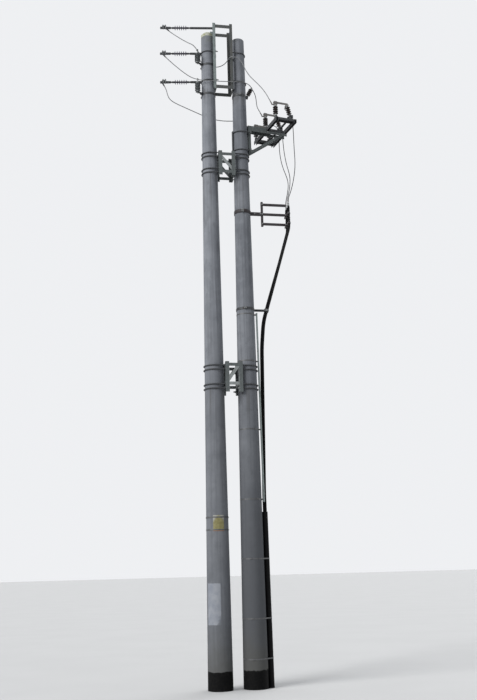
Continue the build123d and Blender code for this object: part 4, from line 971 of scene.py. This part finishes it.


# The routes repeat the points of the model's cords, in metres
ROUTES = {
    "jumper_line_top": (
        (-0.6848, 0, 10.9568), (-0.632, 0, 10.9109), (-0.54, -0.032, 10.832), (-0.44, -0.064, 10.748),
        (-0.345, -0.096, 10.68), (-0.2593, -0.1281, 10.6244), (-0.1305, -0.0455, 10.4956),
        (-0.138, 0.05, 10.462), (-0.085, 0.13, 10.44), (0.01, 0.162, 10.42), (0.115, 0.168, 10.408),
        (0.215, 0.15, 10.402), (0.29, 0.07, 10.402), (0.334, -0.03, 10.41), (0.348, -0.13, 10.418),
        (0.388, -0.192, 10.42), (0.475, -0.203, 10.406), (0.548, -0.202, 10.35), (0.592, -0.206, 10.262),
        (0.632, -0.218, 10.152), (0.69, -0.24, 10.04), (0.76, -0.263, 9.95), (0.832, -0.286, 9.862),
        (0.897, -0.308, 9.77), (0.952, -0.33, 9.668), (0.9943, -0.3477, 9.5679), (1.0238, -0.3421, 9.516),
    ),
    "jumper_line_middle": (
        (-0.7498, 0, 10.4443), (-0.7011, 0, 10.394), (-0.61, -0.008, 10.305), (-0.505, -0.022, 10.205),
        (-0.395, -0.038, 10.11), (-0.2839, -0.0514, 10.0341), (-0.1136, -0.1256, 9.9599),
        (-0.01, -0.16, 9.948), (0.105, -0.168, 9.942), (0.22, -0.167, 9.944), (0.335, -0.163, 9.951),
        (0.45, -0.163, 9.958), (0.555, -0.155, 9.964), (0.65, -0.12, 9.97), (0.7352, -0.052, 9.9644),
        (0.805, 0.052, 9.9295), (0.848, 0.092, 9.88), (0.868, 0.112, 9.79), (0.872, 0.106, 9.69),
        (0.885, 0.099, 9.624), (0.9115, 0.0905, 9.5679), (0.941, 0.0961, 9.516),
    ),
    "jumper_line_lower": (
        (-0.7714, 0, 9.8824), (-0.7364, 0, 9.8218), (-0.718, 0.004, 9.735), (-0.69, 0.012, 9.66),
        (-0.64, 0.022, 9.612), (-0.56, 0.034, 9.575), (-0.465, 0.05, 9.542), (-0.365, 0.07, 9.512),
        (-0.265, 0.094, 9.485), (-0.165, 0.12, 9.458), (-0.065, 0.146, 9.433), (0.04, 0.168, 9.41),
        (0.15, 0.184, 9.392), (0.26, 0.19, 9.384), (0.37, 0.19, 9.386), (0.47, 0.19, 9.394),
        (0.56, 0.196, 9.404), (0.633, 0.246, 9.416), (0.672, 0.325, 9.43), (0.698, 0.408, 9.447),
        (0.728, 0.478, 9.467), (0.7774, 0.5191, 9.4776), (0.8364, 0.5303, 9.4776),
    ),
    "lead_1": (
        (1.31, -0.2318, 9.5007), (1.3018, -0.1885, 9.5015), (1.315, -0.1453, 9.5007),
        (1.3499, -0.1143, 9.4887), (1.3987, -0.098, 9.4587), (1.4319, -0.0958, 9.4037),
        (1.4481, -0.1009, 9.3257), (1.4544, -0.1129, 9.2327), (1.458, -0.121, 9.058),
        (1.457, -0.124, 8.897), (1.458, -0.124, 8.78), (1.462, -0.121, 8.67), (1.465, -0.118, 8.56),
        (1.462, -0.113, 8.45), (1.451, -0.108, 8.34), (1.432, -0.104, 8.23), (1.408, -0.102, 8.12),
        (1.379, -0.101, 8.015), (1.347, -0.1004, 7.925), (1.3233, -0.1, 7.8553), (1.3233, -0.1, 7.8003),
    ),
    "lead_2": (
        (1.2272, 0.2065, 9.5007), (1.219, 0.2497, 9.5015), (1.2322, 0.2929, 9.5007),
        (1.2671, 0.3239, 9.4887), (1.3159, 0.3403, 9.4587), (1.3491, 0.3425, 9.4037),
        (1.3653, 0.3374, 9.3257), (1.3716, 0.3254, 9.2327), (1.371, 0.296, 9.065), (1.372, 0.263, 8.912),
        (1.376, 0.23, 8.79), (1.384, 0.2, 8.675), (1.398, 0.17, 8.56), (1.415, 0.14, 8.45),
        (1.422, 0.11, 8.34), (1.412, 0.082, 8.23), (1.393, 0.056, 8.12), (1.369, 0.033, 8.015),
        (1.343, 0.013, 7.925), (1.3233, 0, 7.8553), (1.3233, 0, 7.8003),
    ),
    "lead_3": (
        (1.1649, 0.536, 9.5007), (1.1731, 0.4928, 9.5015), (1.2011, 0.4574, 9.5007),
        (1.2449, 0.4412, 9.4887), (1.2963, 0.4438, 9.4587), (1.328, 0.4539, 9.4037),
        (1.3413, 0.4645, 9.3257), (1.3428, 0.4781, 9.2327), (1.339, 0.466, 9.09), (1.34, 0.45, 8.95),
        (1.345, 0.42, 8.83), (1.356, 0.388, 8.71), (1.379, 0.358, 8.59), (1.409, 0.33, 8.475),
        (1.43, 0.3, 8.36), (1.425, 0.266, 8.245), (1.402, 0.23, 8.13), (1.373, 0.19, 8.02),
        (1.344, 0.146, 7.925), (1.3233, 0.1, 7.8553), (1.3233, 0.1, 7.8003),
    ),
}


def make_jumper(name):
    """A bare stranded conductor between a line clamp and a fixed contact."""
    line = route_line(name, ROUTES[name], 8)
    bm = bmesh.new()
    radius = JUMPER_D / MM / 2
    sweep(bm, [p / MM for p in line], radius, 48, section=strand_section(radius))
    made = piece(name + "_strands", bm, "conductor", angle=70)
    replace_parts(made, name)


def make_lead(name):
    """A sheathed lead from a moving contact down to a cable end."""
    line = route_line(name, ROUTES[name], 12)
    bm = bmesh.new()
    sweep(bm, [p / MM for p in line], LEAD_D / MM / 2, 20)
    made = piece(name + "_sheath", bm, "black", body=None, angle=70)
    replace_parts(made, name)
    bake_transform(made)


for cord_name in ROUTES:
    if cord_name.startswith("jumper"):
        make_jumper(cord_name)
    else:
        make_lead(cord_name)


def make_lead_lugs():
    """Crimped lugs at both ends of the leads, and sleeves at the jumpers' ends."""
    lug = [(0, 0), (9.2, 0), (9.2, 14), (8.2, 15), (8.2, 19), (9.2, 20), (9.2, 30), (7.2, 33), (0, 33)]
    sleeve = [(0, 0), (10, 0), (10, 6), (9.2, 8), (9.2, 12), (10, 14), (10, 20), (8, 23), (0, 23)]
    fixed, moving = bmesh.new(), bmesh.new()
    for name, route in ROUTES.items():
        first, second, before, last = (Vector(route[k]) / MM for k in (0, 1, -2, -1))
        is_lead = name.startswith("lead")
        profile = lug if is_lead else sleeve
        lathe(moving if is_lead else fixed, place(first, second - first), profile, 24)
        lathe(fixed, place(last, before - last), profile, 24)
    piece("lead_lugs", fixed, "contact")
    piece("lead_lugs_moving", moving, "contact", "rocker")


make_lead_lugs()


# Floor, world, lights
def make_stage():
    bpy.ops.mesh.primitive_plane_add(size=400, location=(0, 0, -0.0005))
    floor = bpy.context.object
    floor.name = "floor"
    floor.data.materials.append(looks["floor"])

    world = bpy.data.worlds.new("world")
    scene.world = world
    world.use_nodes = True
    tree = world.node_tree
    background = tree.nodes["Background"]
    background.inputs[0].default_value = (0.80, 0.83, 0.88, 1)
    background.inputs[1].default_value = 0.66
    bright = tree.nodes.new("ShaderNodeBackground")
    bright.inputs[0].default_value = (0.86, 0.87, 0.89, 1)
    path = tree.nodes.new("ShaderNodeLightPath")
    seen = tree.nodes.new("ShaderNodeMath")
    seen.operation = "MAXIMUM"
    tree.links.new(path.outputs["Is Camera Ray"], seen.inputs[0])
    tree.links.new(path.outputs["Is Glossy Ray"], seen.inputs[1])
    mixer = tree.nodes.new("ShaderNodeMixShader")
    tree.links.new(seen.outputs[0], mixer.inputs[0])
    tree.links.new(background.outputs[0], mixer.inputs[1])
    tree.links.new(bright.outputs[0], mixer.inputs[2])
    tree.links.new(mixer.outputs[0], tree.nodes["World Output"].inputs[0])

    for name, energy, spread, towards in (
        ("key", 3.0, 32, (-1, -0.55, 0.65)),
        ("fill", 1.7, 70, (1, 0.75, 0.5)),
    ):
        data = bpy.data.lights.new(name, "SUN")
        data.energy = energy
        data.angle = radians(spread)
        lamp = bpy.data.objects.new(name, data)
        scene.collection.objects.link(lamp)
        lamp.matrix_world = place((0, 0, 0), towards)


make_stage()
